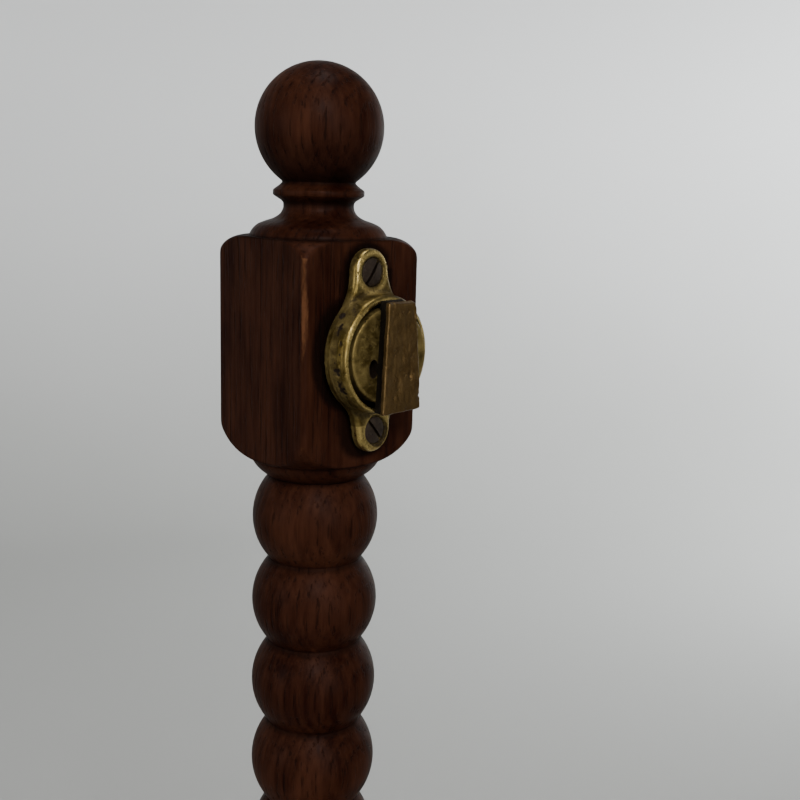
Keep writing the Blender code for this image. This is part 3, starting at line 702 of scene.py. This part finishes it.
def housingGrimeAndShade(vert):
    shape = housingShape
    x, y, z = vert.co
    radius = math.hypot(y, z) / mm
    # darker in the crease where the ring rises from the plate
    inRoot = max(0.0, 1 - abs(radius - shape["ringBase"] - 0.7) / 1.6)
    inRoot *= 0.85 * (2.0 * mm < x < 4.6 * mm)
    # painted shade along the back edge, where the plate stands off the block
    atBack = max(0.0, 1 - x / (1.2 * mm))
    # painted shade on the bore's wall
    inBore = float(radius < shape["bore"] + 0.05 and x < (shape["ringLip"] - 0.3) * mm)
    # darker in the countersinks
    inSink = 0.9 * (earDistance(y, z) < shape["sink"] + 0.1)
    atNeck = max(0.0, 1.25 - math.hypot(y / mm + 11.0, z / mm - 12.6) / 5.0)
    atNeck *= (0.75 + noise.noise(vert.co * 420)) * (x < 6.2 * mm)
    pitted = 0.0
    if y < 0 and radius > shape["bore"] + 0.9:
        for up, out, long, wide in shape["pits"]:
            away = ((z / mm - up) / long) ** 2 + ((x / mm - out) / wide) ** 2
            away += 1.4 * noise.noise(vert.co * 1100)  # ragged outlines
            pitted = max(pitted, min(1.0, 1.5 - away))
    return max(inRoot, atBack, inBore, inSink, pitted, atNeck)


def onHousing(side):
    # it rocks a little on the block, so its front edge stands off
    shape = housingShape
    return (onFace(side) @ Matrix.Translation((shape["lift"] * mm, -shape["forward"] * mm, 0))
            @ Matrix.Rotation(math.radians(shape["lean"]), 4, "Z")
            @ Matrix.Rotation(math.radians(shape["turn"]), 4, "X"))


def makeHousings():
    blank = castHousing()
    wearLayer = blank.verts.layers.float.new("wear")
    grimeAndShadeLayer = blank.verts.layers.float.new("grime_and_shade")
    for vert in blank.verts:
        vert[wearLayer] = housingWear(vert)
        vert[grimeAndShadeLayer] = housingGrimeAndShade(vert)
        sunk = max(0.0, vert[grimeAndShadeLayer] - 0.2) * (math.hypot(vert.co.y, vert.co.z) > 14.4 * mm)
        if sunk and 2.5 * mm < vert.co.x < 7 * mm:
            vert.co -= vert.normal * 0.35 * mm * sunk
    for label, side in (("left", left), ("right", right)):
        bm = place(blank.copy(), onHousing(side))
        finishPiece("housing" + label.title(), bm, [agedBrass], "stand",
                    ["swivel_housing_" + label], sharp=50)
    blank.free()


makeHousings()
print("housings cast")


swivelShape = {
    "disc": 12.4, "face": 8.3, "end": 12.6, "long": 28.4, "wide": 12.9, "narrow": 9.2,
    "turn": 1.2, "shift": 0.5, "neck": 10.9, "undercut": 0.35, "groove": 1.15,
    "holeSpot": (-5.3, -2.9), "holeSize": (1.45, 2.4),
}


def swivelBlank():
    shape = swivelShape
    radius, face = shape["disc"], shape["face"]
    profile = [(radius * 0.06 * i, face) for i in range(16)]
    profile += arcPoints(radius - 0.5, face - 0.5, 0.5, 90, 0, 6)
    profile += [(radius, 2.4), (13.4, 2.4), (13.4, 1.6), (0, 1.6)]  # flange held by the lip
    disc = place(spinSolid([(r * mm, z * mm) for r, z in profile], 96), lieAlongX)
    # a locating hole beside the tongue
    wide, tall = shape["holeSize"]
    depth = 3 * mm
    hole = spinSolid([(0, depth), (wide * mm, depth), (wide * mm, -depth), (0, -depth)], 24)
    place(hole, Matrix.Diagonal((1, 1, tall / wide, 1)) @ lieAlongX)
    place(hole, Matrix.Translation(Vector((face, *shape["holeSpot"])) * mm))
    return drilled(disc, [toMesh(hole, "hole")])


def wedge(low, high, pinchLow, pinchHigh):
    # narrow end up; each side drawn in by a pinch at its two depths
    shape = swivelShape
    bm = bmesh.new()
    bmesh.ops.create_cube(bm, size=1)
    half = shape["long"] / 2
    for vert in bm.verts:
        out, up, back = vert.co.x > 0, vert.co.z > 0, (1 if vert.co.y > 0 else -1)
        pinch = pinchHigh if out else pinchLow
        width = (shape["narrow"] if up else shape["wide"]) / 2 - pinch
        vert.co = Vector((high if out else low, back * width, half if up else -half)) * mm
        if back > 0 and out:
            vert.co.z += (-0.9 if up else 0.5) * mm  # these corners are knocked off a little
    return bm


def tongueBlank(seed):
    # dovetail wedge filed by hand, on a narrower neck that leaves a dark groove round it
    shape = swivelShape
    bm = wedge(shape["neck"], shape["end"], shape["undercut"], 0)
    bevelEdges(bm, lambda edge: True, 0.35 * mm, 3)
    long = [edge for edge in bm.edges if edge.calc_length() > 1.2 * mm]
    bmesh.ops.subdivide_edges(bm, edges=long, cuts=34, use_grid_fill=True)
    for vert in bm.verts:
        spot = vert.co / mm
        rough = noise.noise(spot * 0.35 + Vector((seed, 0, 0)))
        fine = noise.noise(spot * 0.85 + Vector((0, seed, 0)))
        chip = max(0.0, noise.noise(spot * 0.9 + Vector((0, 0, seed))) - 0.22)
        vert.co += vert.normal * (0.17 * rough + 0.10 * fine - 0.6 * chip) * mm
    addPart(bm, wedge(shape["face"] - 0.3, shape["neck"] + 0.2, shape["groove"], shape["groove"]))
    return bm


def makeDisc(label, side):
    shape = swivelShape
    across, up = shape["holeSpot"]
    wide, tall = shape["holeSize"]

    def fromPivot(vert):
        return (vert.co.y - pivotY) / mm, (vert.co.z - pivotZ) / mm

    def wear(vert):
        radius = math.hypot(*fromPivot(vert))
        return 0.2 * max(0.0, 1 - abs(radius - shape["disc"] + 0.5) / 0.6)

    def grime_and_shade(vert):
        y, z = fromPivot(vert)
        out = abs(vert.co.x - side * faceX) / mm
        inHole = math.hypot((y - across) / wide, (z - up) / tall)
        # painted shade: the disc's side down in the gap and the locating hole go black, the rim
        # darker; the face gets a light mottle of tarnish
        if out < shape["face"] - 0.9 or inHole < 1.05:
            return 1.0
        if math.hypot(y, z) > shape["disc"] - 0.9:
            return 0.35
        return 0.30 + 0.20 * noise.noise(Vector((0, vert.co.y * 300, vert.co.z * 900)))
    disc = place(swivelBlank(), onFace(side))
    finishPiece("swivelDisc" + label.title(), disc, [agedBrass], "swivel_" + label,
                ["swivel_tongue_" + label], {"wear": wear, "grime_and_shade": grime_and_shade})


def makeTongue(label, side, seed):
    shape = swivelShape
    end, long = shape["end"], shape["long"]
    upright = (onFace(side) @ Matrix.Translation((0, shape["shift"] * mm, 0))
               @ Matrix.Rotation(math.radians(shape["turn"]), 4, "X"))
    back = upright.inverted()
    middleWidth = (shape["wide"] + shape["narrow"]) / 4
    taper = (shape["wide"] - shape["narrow"]) / long / 2

    def wear(vert):
        out, across, rise = (back @ vert.co) / mm
        nearSide = max(0.0, 1 - abs(abs(across) - middleWidth + rise * taper + 0.2) / 0.35)
        nearEnd = max(0.0, 1 - abs(abs(rise) - long / 2 + 0.2) / 0.35)
        return 0.25 * max(nearSide, nearEnd) * (out > end - 0.4)

    def grime_and_shade(vert):
        out = (back @ vert.co).x / mm
        # painted shade: black in the groove round the neck, dark on the wedge's sides; the end face
        # stays clean
        if out < shape["neck"] + 0.3:
            return 1.0
        return 0.6 if out < end - 0.45 else 0.0
    tongue = place(tongueBlank(seed), upright)
    finishPiece("tongue" + label.title(), tongue, [bronzedTongue], "swivel_" + label,
                ["swivel_tongue_" + label], {"wear": wear, "grime_and_shade": grime_and_shade})


for label, side, seed in (("left", left, 2.0), ("right", right, 9.0)):
    makeDisc(label, side)
    makeTongue(label, side, seed)
print("swivels made")


def rubbedEdges(flat=2.0e-5, strength=0.75):
    # wear sits on the narrow faces that round an edge, not on the broad ones beside them
    def wear(vert):
        broad = sum(1 for face in vert.link_faces if face.calc_area() > flat)
        return strength if broad == 0 else 0.0
    return wear


footShape = {"thick": 42.0, "seat": 32.0, "edge": 2.5, "sweep": 117, "sweepSteps": 32}


def footOutline(low, high):
    # side view as (y, z): upright toes, a swept back and a flat seat for the post
    half, base, seat = high.y / mm, low.z / mm, high.z / mm
    toe = [(half - 8, base)] + arcPoints(half - 7, base + 7, 7, -80, 0, 6)
    toe += arcPoints(half - 6, base + 12, 6, 0, 80, 6)
    sweep = []
    for i in range(1, footShape["sweepSteps"] + 1):
        part = i / footShape["sweepSteps"]
        rise = (1 - math.cos(math.pi * part)) / 2
        sweep.append((half - 7 - part * footShape["sweep"], base + 18 + rise * (seat - base - 22)))
    front = toe + sweep + [(footShape["seat"] + 2, seat - 3.2), (footShape["seat"], seat)]
    return [(y * mm, z * mm) for y, z in front + [(-y, z) for y, z in reversed(front)]]


def makeFoot(label):
    node = "trestle_foot_" + label
    low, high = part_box(node)
    middle = (low.x + high.x) / 2
    half = footShape["thick"] * mm / 2
    bm = extruded(footOutline(low, high), -half, half, lambda u, v, d: (middle + d, u, v))

    def openEdge(edge):
        # all but those of the seats that stand on the buns
        return all(abs(abs(v.co.x - middle) - half) < 1e-5 and v.co.z > low.z + 1e-5
                   for v in edge.verts)
    bevelEdges(bm, openEdge, footShape["edge"] * mm, 4)
    oak = makeOak("foot%sOak" % label.title(), (middle + 0.01, 0.4, low.z - 0.03), "y")
    finishPiece("trestleFoot" + label.title(), bm, [oak], "stand", [node],
                {"wear": rubbedEdges()}, sharp=40, planed=True)
    for end in ("front", "back"):
        makeBunFoot(label, end, low.z / mm - 0.3)


bunShape = {"tenon": 6.0, "tenonLong": 12.0, "widest": 9.2,  # the widest part's depth under the top
            "curve": ((13, -0.2), (14.2, -1.4), (16.4, -3.0), (18.7, -5.6), (19.5, -9.2),
                      (18.6, -13), (16.2, -16.4))}  # radius, depth


def makeBunFoot(label, end, top):
    shape = bunShape
    node = "bun_foot_%s_%s" % (label, end)
    low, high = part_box(node)
    peg, long = shape["tenon"], shape["tenonLong"]
    profile = [(0, top + long), (peg - 0.4, top + long), (peg, top + long - 0.4), (peg, top),
               (12.6, top)]
    profile += easePoints([(r, top + z) for r, z in shape["curve"]] + [(13.4, 0.5)], 6)
    profile += [(12.4, 0), (0, 0)]
    bm = spinSolid([(r * mm, z * mm) for r, z in profile], 96)
    place(bm, Matrix.Translation(((low.x + high.x) / 2, (low.y + high.y) / 2, 0)))

    def scuffed(vert):
        return 0.55 * max(0.0, 1 - abs(vert.co.z / mm - top + shape["widest"]) / 1.6)

    # darker at the floor and where the bun meets the foot
    def darkerAtFloorAndJoint(vert):
        height = vert.co.z / mm
        return max(0.0, 1 - height / 2.5, 1 - abs(height - top) / 1.2) * 0.7
    oak = makeOak("%s%sBunOak" % (label, end.title()), ((low.x + high.x) / 2 + 0.006, low.y, 0.3))
    finishPiece("bunFoot%s%s" % (label.title(), end.title()), bm, [oak], "stand", [node],
                {"wear": scuffed, "grime_and_shade": darkerAtFloorAndJoint})


for label in ("left", "right"):
    makeFoot(label)

stretcherShape = {"beads": 21, "pitch": 24.0, "radius": 13.5, "waist": 10.0, "end": 12.5,
                  "tenon": 8.0}


def makeStretcher():
    shape = stretcherShape
    low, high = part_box("bobbin_stretcher")
    chance = random.Random(5)
    half = faceX - gap
    pitch = shape["pitch"] * mm
    reach = shape["beads"] * pitch / 2
    span = pitch / 2 - 0.35 * mm
    squeeze = math.sqrt((shape["radius"] ** 2 - shape["waist"] ** 2)) * mm / span
    radii = [(shape["radius"] + chance.uniform(-0.1, 0.1)) * mm for _ in range(shape["beads"])]
    end, peg = shape["end"] * mm, shape["tenon"] * mm
    outer = [(0, high.x), (peg - 0.4 * mm, high.x), (peg, high.x - 0.4 * mm), (peg, half),
             (end - 0.6 * mm, half), (end, half - 0.6 * mm), (end, reach + 3 * mm)]
    cove = (end - 0.4 * mm, reach + 1.6 * mm)
    profile = outer + easePoints([cove, (shape["waist"] * mm, reach + 0.2 * mm)], 3)
    profile += beadRun(reach, pitch, radii, 16, squeeze)
    profile += [(r, -z) for r, z in reversed(outer + [cove])]
    bm = spinSolid(profile, 80)
    place(bm, Matrix.Translation((0, 0, (low.z + high.z) / 2)) @ lieAlongX)

    def inWaists(vert):
        # dirt and painted shade in the waists between the beads
        phase = ((abs(vert.co.x) + pitch / 2) % pitch) / pitch
        return 0.75 * max(0.0, 1 - min(phase, 1 - phase) / 0.06)
    oak = makeOak("stretcherOak", (0.2, 0.012, (low.z + high.z) / 2), "x")
    finishPiece("bobbinStretcher", bm, [oak], "stand", ["bobbin_stretcher"],
                {"grime_and_shade": inWaists}, sharp=48)


makeStretcher()

boardLook = dict(oakLook, shine=0.08)
shelfShape = {"deep": 150.0, "thick": 15.0, "corner": 24.0, "edge": 3.5, "tenon": 12.0,
              "tenonLong": 20.0, "tenonThick": 9.0}


def makeShelf():
    shape = shelfShape
    half = faceX - gap
    deep, corner = shape["deep"] * mm / 2, shape["corner"] * mm
    outline = []
    for turn in range(4):
        cornerX = (half - corner) * (1 if turn in (0, 3) else -1)
        cornerY = (deep - corner) * (1 if turn in (0, 1) else -1)
        outline += arcPoints(cornerX, cornerY, corner, 90 * turn, 90 * turn + 90, 16)
    low = shelfTop - shape["thick"] * mm
    bm = extruded(outline, low, shelfTop, lambda u, v, d: (u, v, d))
    bevelEdges(bm, lambda edge: abs(edge.verts[0].co.z - edge.verts[1].co.z) < 1e-6,
               shape["edge"] * mm, 5)
    inset = (shape["thick"] - shape["tenonThick"]) / 2 * mm
    for side in (left, right):
        ends = sorted((side * half, side * (half + shape["tenonLong"] * mm)))
        addPart(bm, blockSolid((ends[0], -shape["tenon"] * mm, low + inset),
                               (ends[1], shape["tenon"] * mm, shelfTop - inset)))
    oak = makeOak("shelfOak", (0.3, 0.05, low - 0.06), "x", 0.0032, boardLook)
    finishPiece("lowerShelf", bm, [oak], "stand", ["lower_shelf"],
                {"wear": rubbedEdges(2.0e-5, 0.6)}, sharp=40, planed=True)


makeShelf()


pegShape = {"proud": 0.6, "deep": 5.0,
            "head": ((0, 0.6), (1.0, 0.56), (2.0, 0.42), (2.7, 0.16), (3.0, -0.1))}  # radius, height


def makePegs():
    # each is driven into a post's front, its domed head just proud
    profile = [(r * mm, z * mm) for r, z in pegShape["head"]]
    profile += [(profile[-1][0], -pegShape["deep"] * mm), (0, -pegShape["deep"] * mm)]
    for label in ("left", "right"):
        for rail in ("stretcher", "shelf"):
            node = "%s_peg_%s" % (rail, label)
            low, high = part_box(node)
            centre = (low + high) / 2
            face = low.y + pegShape["proud"] * mm
            bm = place(spinSolid(profile, 32), Matrix.Translation((centre.x, face, centre.z))
                       @ Matrix.Rotation(math.radians(90), 4, "X"))
            oak = makeOak("%sPegOak%s" % (rail, label.title()),
                          (centre.x + 0.02, 0.3, centre.z), "y", 0.0014)
            # the peg is painted dark below the post's face, as shade where it goes into the wood
            finishPiece("%sPeg%s" % (rail, label.title()), bm, [oak], "stand", [node],
                        {"grime_and_shade": lambda vert, out=face: float(vert.co.y > out)})


makePegs()
print("feet, stretcher and shelf made")


topShape = {"thick": 22.0, "cleat": 42.0, "edge": 4.0, "arris": 0.35}


def slab(low, high, rounded, strips):
    # a planed board with its edges at the rounded heights turned over, cut across into strips
    bm = blockSolid(low, high)

    def outerEdge(edge):
        first, second = (vert.co for vert in edge.verts)
        lengthwise = abs(first.y - second.y) < 1e-6 and abs(first.z - second.z) < 1e-6
        return lengthwise and any(abs(first.z - height) < 1e-6 for height in rounded)
    if rounded:
        bevelEdges(bm, outerEdge, topShape["edge"] * mm, 6)
    bevelEdges(bm, lambda edge: edge.calc_face_angle(0) > math.radians(60),
               topShape["arris"] * mm, 2)
    for i in range(1, strips):
        spot = low.x + (high.x - low.x) * i / strips
        bmesh.ops.bisect_plane(bm, geom=bm.verts[:] + bm.edges[:] + bm.faces[:],
                               plane_co=(spot, 0, 0), plane_no=(1, 0, 0))
    return bm


def makeBoards():
    inner = faceX - topEnd - topShape["cleat"] * mm - gap
    half = topShape["thick"] * mm / 2
    for index, word in enumerate(("lower", "middle", "upper")):
        node = "top_board_" + word
        low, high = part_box(node)
        rounded = ([low.z], [], [high.z])[index]  # only the outer boards have an open edge
        bm = slab(Vector((-inner, pivotY - half, low.z)), Vector((inner, pivotY + half, high.z)),
                  rounded, 12)
        centre = (0.35 + 0.11 * index, pivotY + (0.05, -0.07, 0.06)[index],
                  (low.z + high.z) / 2 + (0.02, -0.01, 0.03)[index])
        oak = makeOak("board%sOak" % word.title(), centre, "x", 0.0034, boardLook)
        finishPiece("topBoard" + word.title(), bm, [oak], "top", [node],
                    {"wear": rubbedEdges(6.0e-5, 0.55)}, sharp=40, planed=True)


makeBoards()

socketShape = {"jawIn": 7.3 * mm, "jawOut": 9.5 * mm, "half": 24 * mm, "mouth": 9.3 * mm,
               "floor": 1.2 * mm, "screws": 18 * mm, "hole": 6.6 * mm, "screwHole": 2.1 * mm,
               "sink": 2.9 * mm}


def plug(radius, near, far, height, steps=48):
    # a round cutter standing off the block's face, at a height on the socket
    bm = spinSolid([(0, far), (radius, far), (radius, near), (0, near)], steps)
    return place(bm, Matrix.Translation((0, 0, height)) @ lieAlongX)


def makeCleat(label, side, local):
    socket = socketShape
    half = topShape["thick"] * mm / 2
    node = "top_cleat_" + label
    low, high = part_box(node)
    bm = slab(Vector((low.x, pivotY - half, low.z)), Vector((high.x, pivotY + half, high.z)),
              [low.z, high.z], 1)
    wide, long = socket["jawOut"] + gap, socket["half"] + gap
    drills = [blockSolid((topEnd - mm, -wide, -long), (topEnd + 1.5 * mm, wide, long)),
              plug(socket["hole"], topEnd - mm, topEnd + 3.3 * mm, 0)]
    drills += [plug(socket["screwHole"], topEnd - mm, topEnd + 17 * mm, end * socket["screws"], 24)
               for end in (1, -1)]
    bm = drilled(bm, [toMesh(place(drill, local), "drill") for drill in drills])
    oak = makeOak("cleat%sOak" % label.title(),
                  ((low.x + high.x) / 2 + 0.03 * side, pivotY - 0.05, 0.5), "z", 0.0034, boardLook)
    finishPiece("topCleat" + label.title(), bm, [oak], "top", [node],
                {"wear": rubbedEdges(6.0e-5, 0.6)}, sharp=40, planed=True)


def makeSocket(label, local):
    # brass channel: two jaws on a floor let into the cleat
    socket = socketShape
    jawIn, jawOut, mouth = socket["jawIn"], socket["jawOut"], socket["mouth"]
    face, back = topEnd - gap, topEnd + socket["floor"]
    outline = [(-jawOut, back), (-jawOut, mouth), (-jawIn, mouth), (-jawIn, face), (jawIn, face),
               (jawIn, mouth), (jawOut, mouth), (jawOut, back)]
    bm = extruded(outline, -socket["half"], socket["half"], lambda u, v, d: (v, u, d))
    bevelEdges(bm, lambda edge: all(v.co.x < face + 0.1 * mm for v in edge.verts), 0.35 * mm, 3)
    drills = [plug(socket["hole"], topEnd - 2 * mm, topEnd + 3 * mm, 0)]
    narrow, wide = socket["screwHole"], socket["sink"]
    for end in (1, -1):
        sink = spinSolid([(0, topEnd + 2 * mm), (narrow, topEnd + 2 * mm), (narrow, topEnd + mm),
                          (wide, face), (wide, topEnd - mm), (0, topEnd - mm)], 40)
        drills.append(place(sink, Matrix.Translation((0, 0, end * socket["screws"])) @ lieAlongX))
    bm = drilled(bm, [toMesh(drill, "drill") for drill in drills])
    wear, grime_and_shade = (bm.verts.layers.float.new(mask) for mask in ("wear", "grime_and_shade"))
    for vert in bm.verts:
        vert[wear] = 0.8 if vert.co.x < mouth + 0.5 * mm else 0.1
        # painted shade inside the channel, light dirt elsewhere
        vert[grime_and_shade] = 0.8 if vert.co.x > face + 0.05 * mm else 0.15
    place(bm, local)
    finishPiece("topSocket" + label.title(), bm, [agedBrass], "top", ["top_socket_" + label],
                sharp=35, planed=True)


packingShape = {"radius": 6.2, "flat": 5.4, "near": -0.1, "far": 2.9}


def makePackingDisc(label, local):
    shape = packingShape
    radius, near, far = shape["radius"], topEnd / mm + shape["near"], topEnd / mm + shape["far"]
    profile = [(0, far), (radius - 0.2, far), (radius, far - 0.2), (radius, near + 0.5),
               (radius - 0.3, near + 0.1), (shape["flat"], near), (0, near)]
    bm = place(spinSolid([(r * mm, z * mm) for r, z in profile], 64), local @ lieAlongX)
    finishPiece("packingDisc" + label.title(), bm, [packingLeather], "packing",
                ["packing_disc_" + label])


for label, side in (("left", left), ("right", right)):
    local = onFace(side, topZ)
    makeCleat(label, side, local)
    makeSocket(label, local)
    makePackingDisc(label, local)
    # the spring washers keep their own shapes, and only their finish changes
    for slot in bpy.data.objects["spring_washer_" + label].material_slots:
        slot.material = brownedSteel
print("top made")


def slottedScrew(shape, slotAngle):
    # countersunk head with its rim at height 0, cut across by a slot
    head, dome, shank, length = shape["head"], shape["dome"], shape["shank"], shape["length"]
    profile = [(0, dome)] + [(head * math.sin(math.radians(a)) / math.sin(math.radians(60)),
                              dome * (math.cos(math.radians(a)) - 0.5) / 0.5)
                             for a in range(8, 61, 8)]
    profile += [(head, 0), (head - 0.06, -0.12), (shank, -head + shank), (shank, -length * 0.75),
                (0.2, -length), (0, -length)]
    bm = spinSolid([(r * mm, z * mm) for r, z in profile], 48)
    wide, deep = shape["slot"][0] * mm / 2, shape["slot"][1] * mm
    blade = blockSolid((-wide, -4.5 * mm, -deep), (wide, 4.5 * mm, 0.85 * mm))
    bm = drilled(bm, [toMesh(blade, "blade")])
    return place(bm, Matrix.Rotation(math.radians(slotAngle), 4, "Z"))


housingScrew = {"head": 3.5, "dome": 0.35, "shank": 1.75, "length": 15, "slot": (0.85, 0.75),
                "rim": 2.7, "turns": {("left", 1): 50, ("left", -1): 126,
                                      ("right", 1): 20, ("right", -1): 98}}
socketScrew = {"head": 2.6, "dome": 0.0, "shank": 1.6, "length": 15, "slot": (0.85, 0.75),
               "rim": -0.2}


def makeFasteners():
    for label, side in (("left", left), ("right", right)):
        for end, word in ((1, "upper"), (-1, "lower")):
            bm = slottedScrew(housingScrew, housingScrew["turns"][label, end])
            place(bm, onHousing(side) @ screwSpot(end, housingScrew["rim"] * mm))
            finishPiece("housingScrew%s%s" % (label.title(), word.title()), bm, [brownedSteel],
                        "stand", ["housing_screw_%s_%s" % (label, word)], sharp=30)
            bm = slottedScrew(socketScrew, 90 + 25 * end * side)
            spot = (topEnd + socketScrew["rim"] * mm, 0, end * socketShape["screws"])
            place(bm, onFace(side, topZ) @ Matrix.Translation(spot) @ lieAlongX
                  @ Matrix.Rotation(math.pi, 4, "X"))
            finishPiece("socketScrew%s%s" % (label.title(), word.title()), bm, [brownedSteel],
                        "top", ["socket_screw_%s_%s" % (label, word)], sharp=30)


makeFasteners()
print("screws driven")


cameraPlace = {
    "fromPost": (241.45, -188.17, 0.08),  # mm from the left post's axis, at the datum's height
    "forward": (-0.72635, 0.65850, -0.19696),
    "up": (-0.16352, 0.11278, 0.98007),
    "lens": 51.39,
}


def makeCamera():
    view = cameraPlace
    camera = bpy.data.objects.new("camera", bpy.data.cameras.new("camera"))
    bpy.context.scene.collection.objects.link(camera)
    back = -Vector(view["forward"]).normalized()
    across = Vector(view["up"]).cross(back).normalized()
    up = back.cross(across)
    turn = Matrix((across, up, back)).transposed().to_4x4()
    spot = Vector((-postX, 0, datumZ)) + Vector(view["fromPost"]) * mm
    camera.matrix_world = Matrix.Translation(spot) @ turn
    camera.data.sensor_width = 36
    camera.data.lens = view["lens"]
    camera.data.clip_start = 0.01
    bpy.context.scene.camera = camera


makeCamera()

studio = {"radius": 2.6, "tall": 3.2, "cove": 0.6, "floor": (0.39, 0.39, 0.375, 1),
          "wall": (0.67, 0.67, 0.665, 1)}


def makeStudio():
    # floor, cove and wall in one surface all round
    profile = [(0, 0), (studio["radius"] - studio["cove"], 0)]
    profile += arcPoints(studio["radius"] - studio["cove"], studio["cove"], studio["cove"],
                         -90, 0, 12)[1:]
    profile += [(studio["radius"], studio["tall"])]
    bm = spinSolid(profile, 64)
    shell = toMesh(bm, "studio")
    shell.data.shade_smooth()
    material, tree, shader = startMaterial("palePaint")
    spot = objectSpot(tree)
    apart = addNode(tree, "ShaderNodeSeparateXYZ")
    feed(tree, apart.inputs[0], spot)
    uneven = maths(tree, "MULTIPLY_ADD", cloud(tree, spot, 1.4, 2), 0.3, apart.outputs[2])
    feed(tree, shader.inputs["Base Color"],
         blendColour(tree, remap(tree, uneven, 0.1, 1.1, 0, 1, True), studio["floor"],
                     studio["wall"]))
    shader.inputs["Roughness"].default_value = 0.85
    shell.data.materials.append(material)


makeStudio()


lamps = {
    "key": {"spot": (1.35, -1.0, 1.95), "aim": (-0.25, 0, 0.66), "size": (0.7, 0.7),
            "power": 45, "colour": (1.0, 0.985, 0.97)},
    "edgeLight": {"spot": (-0.55, -1.7, 0.85), "aim": (-0.25, 0, 0.66), "size": (0.12, 0.9),
                  "power": 6},
    "sideFill": {"spot": (1.5, -0.25, 0.8), "aim": (-0.2, 0, 0.6), "size": (0.8, 0.9),
                 "power": 11},
    "topLight": {"spot": (-0.3, 0.1, 1.95), "aim": (-0.28, 0, 0.7), "size": (0.5, 0.5),
                 "power": 7},
    "wallWash": {"spot": (-0.3, 2.1, 0.85), "aim": (-1.5, 1.7, 0.6), "size": (0.6, 0.8),
                 "power": 38, "colour": (0.94, 0.98, 1.0), "spread": 145},
}


def hangLamp(name, lamp):
    light = bpy.data.lights.new(name, "AREA")
    light.shape = "RECTANGLE"
    light.size, light.size_y = lamp["size"]
    light.energy = lamp["power"]
    light.spread = math.radians(lamp.get("spread", 180))
    light.color = lamp.get("colour", (1, 1, 1))
    hung = bpy.data.objects.new(name, light)
    bpy.context.scene.collection.objects.link(hung)
    aim = (Vector(lamp["spot"]) - Vector(lamp["aim"])).to_track_quat("Z", "Y")
    hung.matrix_world = Matrix.Translation(lamp["spot"]) @ aim.to_matrix().to_4x4()


for name, lamp in lamps.items():
    hangLamp(name, lamp)
world = bpy.data.worlds.new("studioAir")
bpy.context.scene.world = world
world.use_nodes = True
air = world.node_tree.nodes["Background"]
air.inputs["Color"].default_value = (0.9, 0.93, 1.0, 1)
air.inputs["Strength"].default_value = 0.06

print("scene ready")
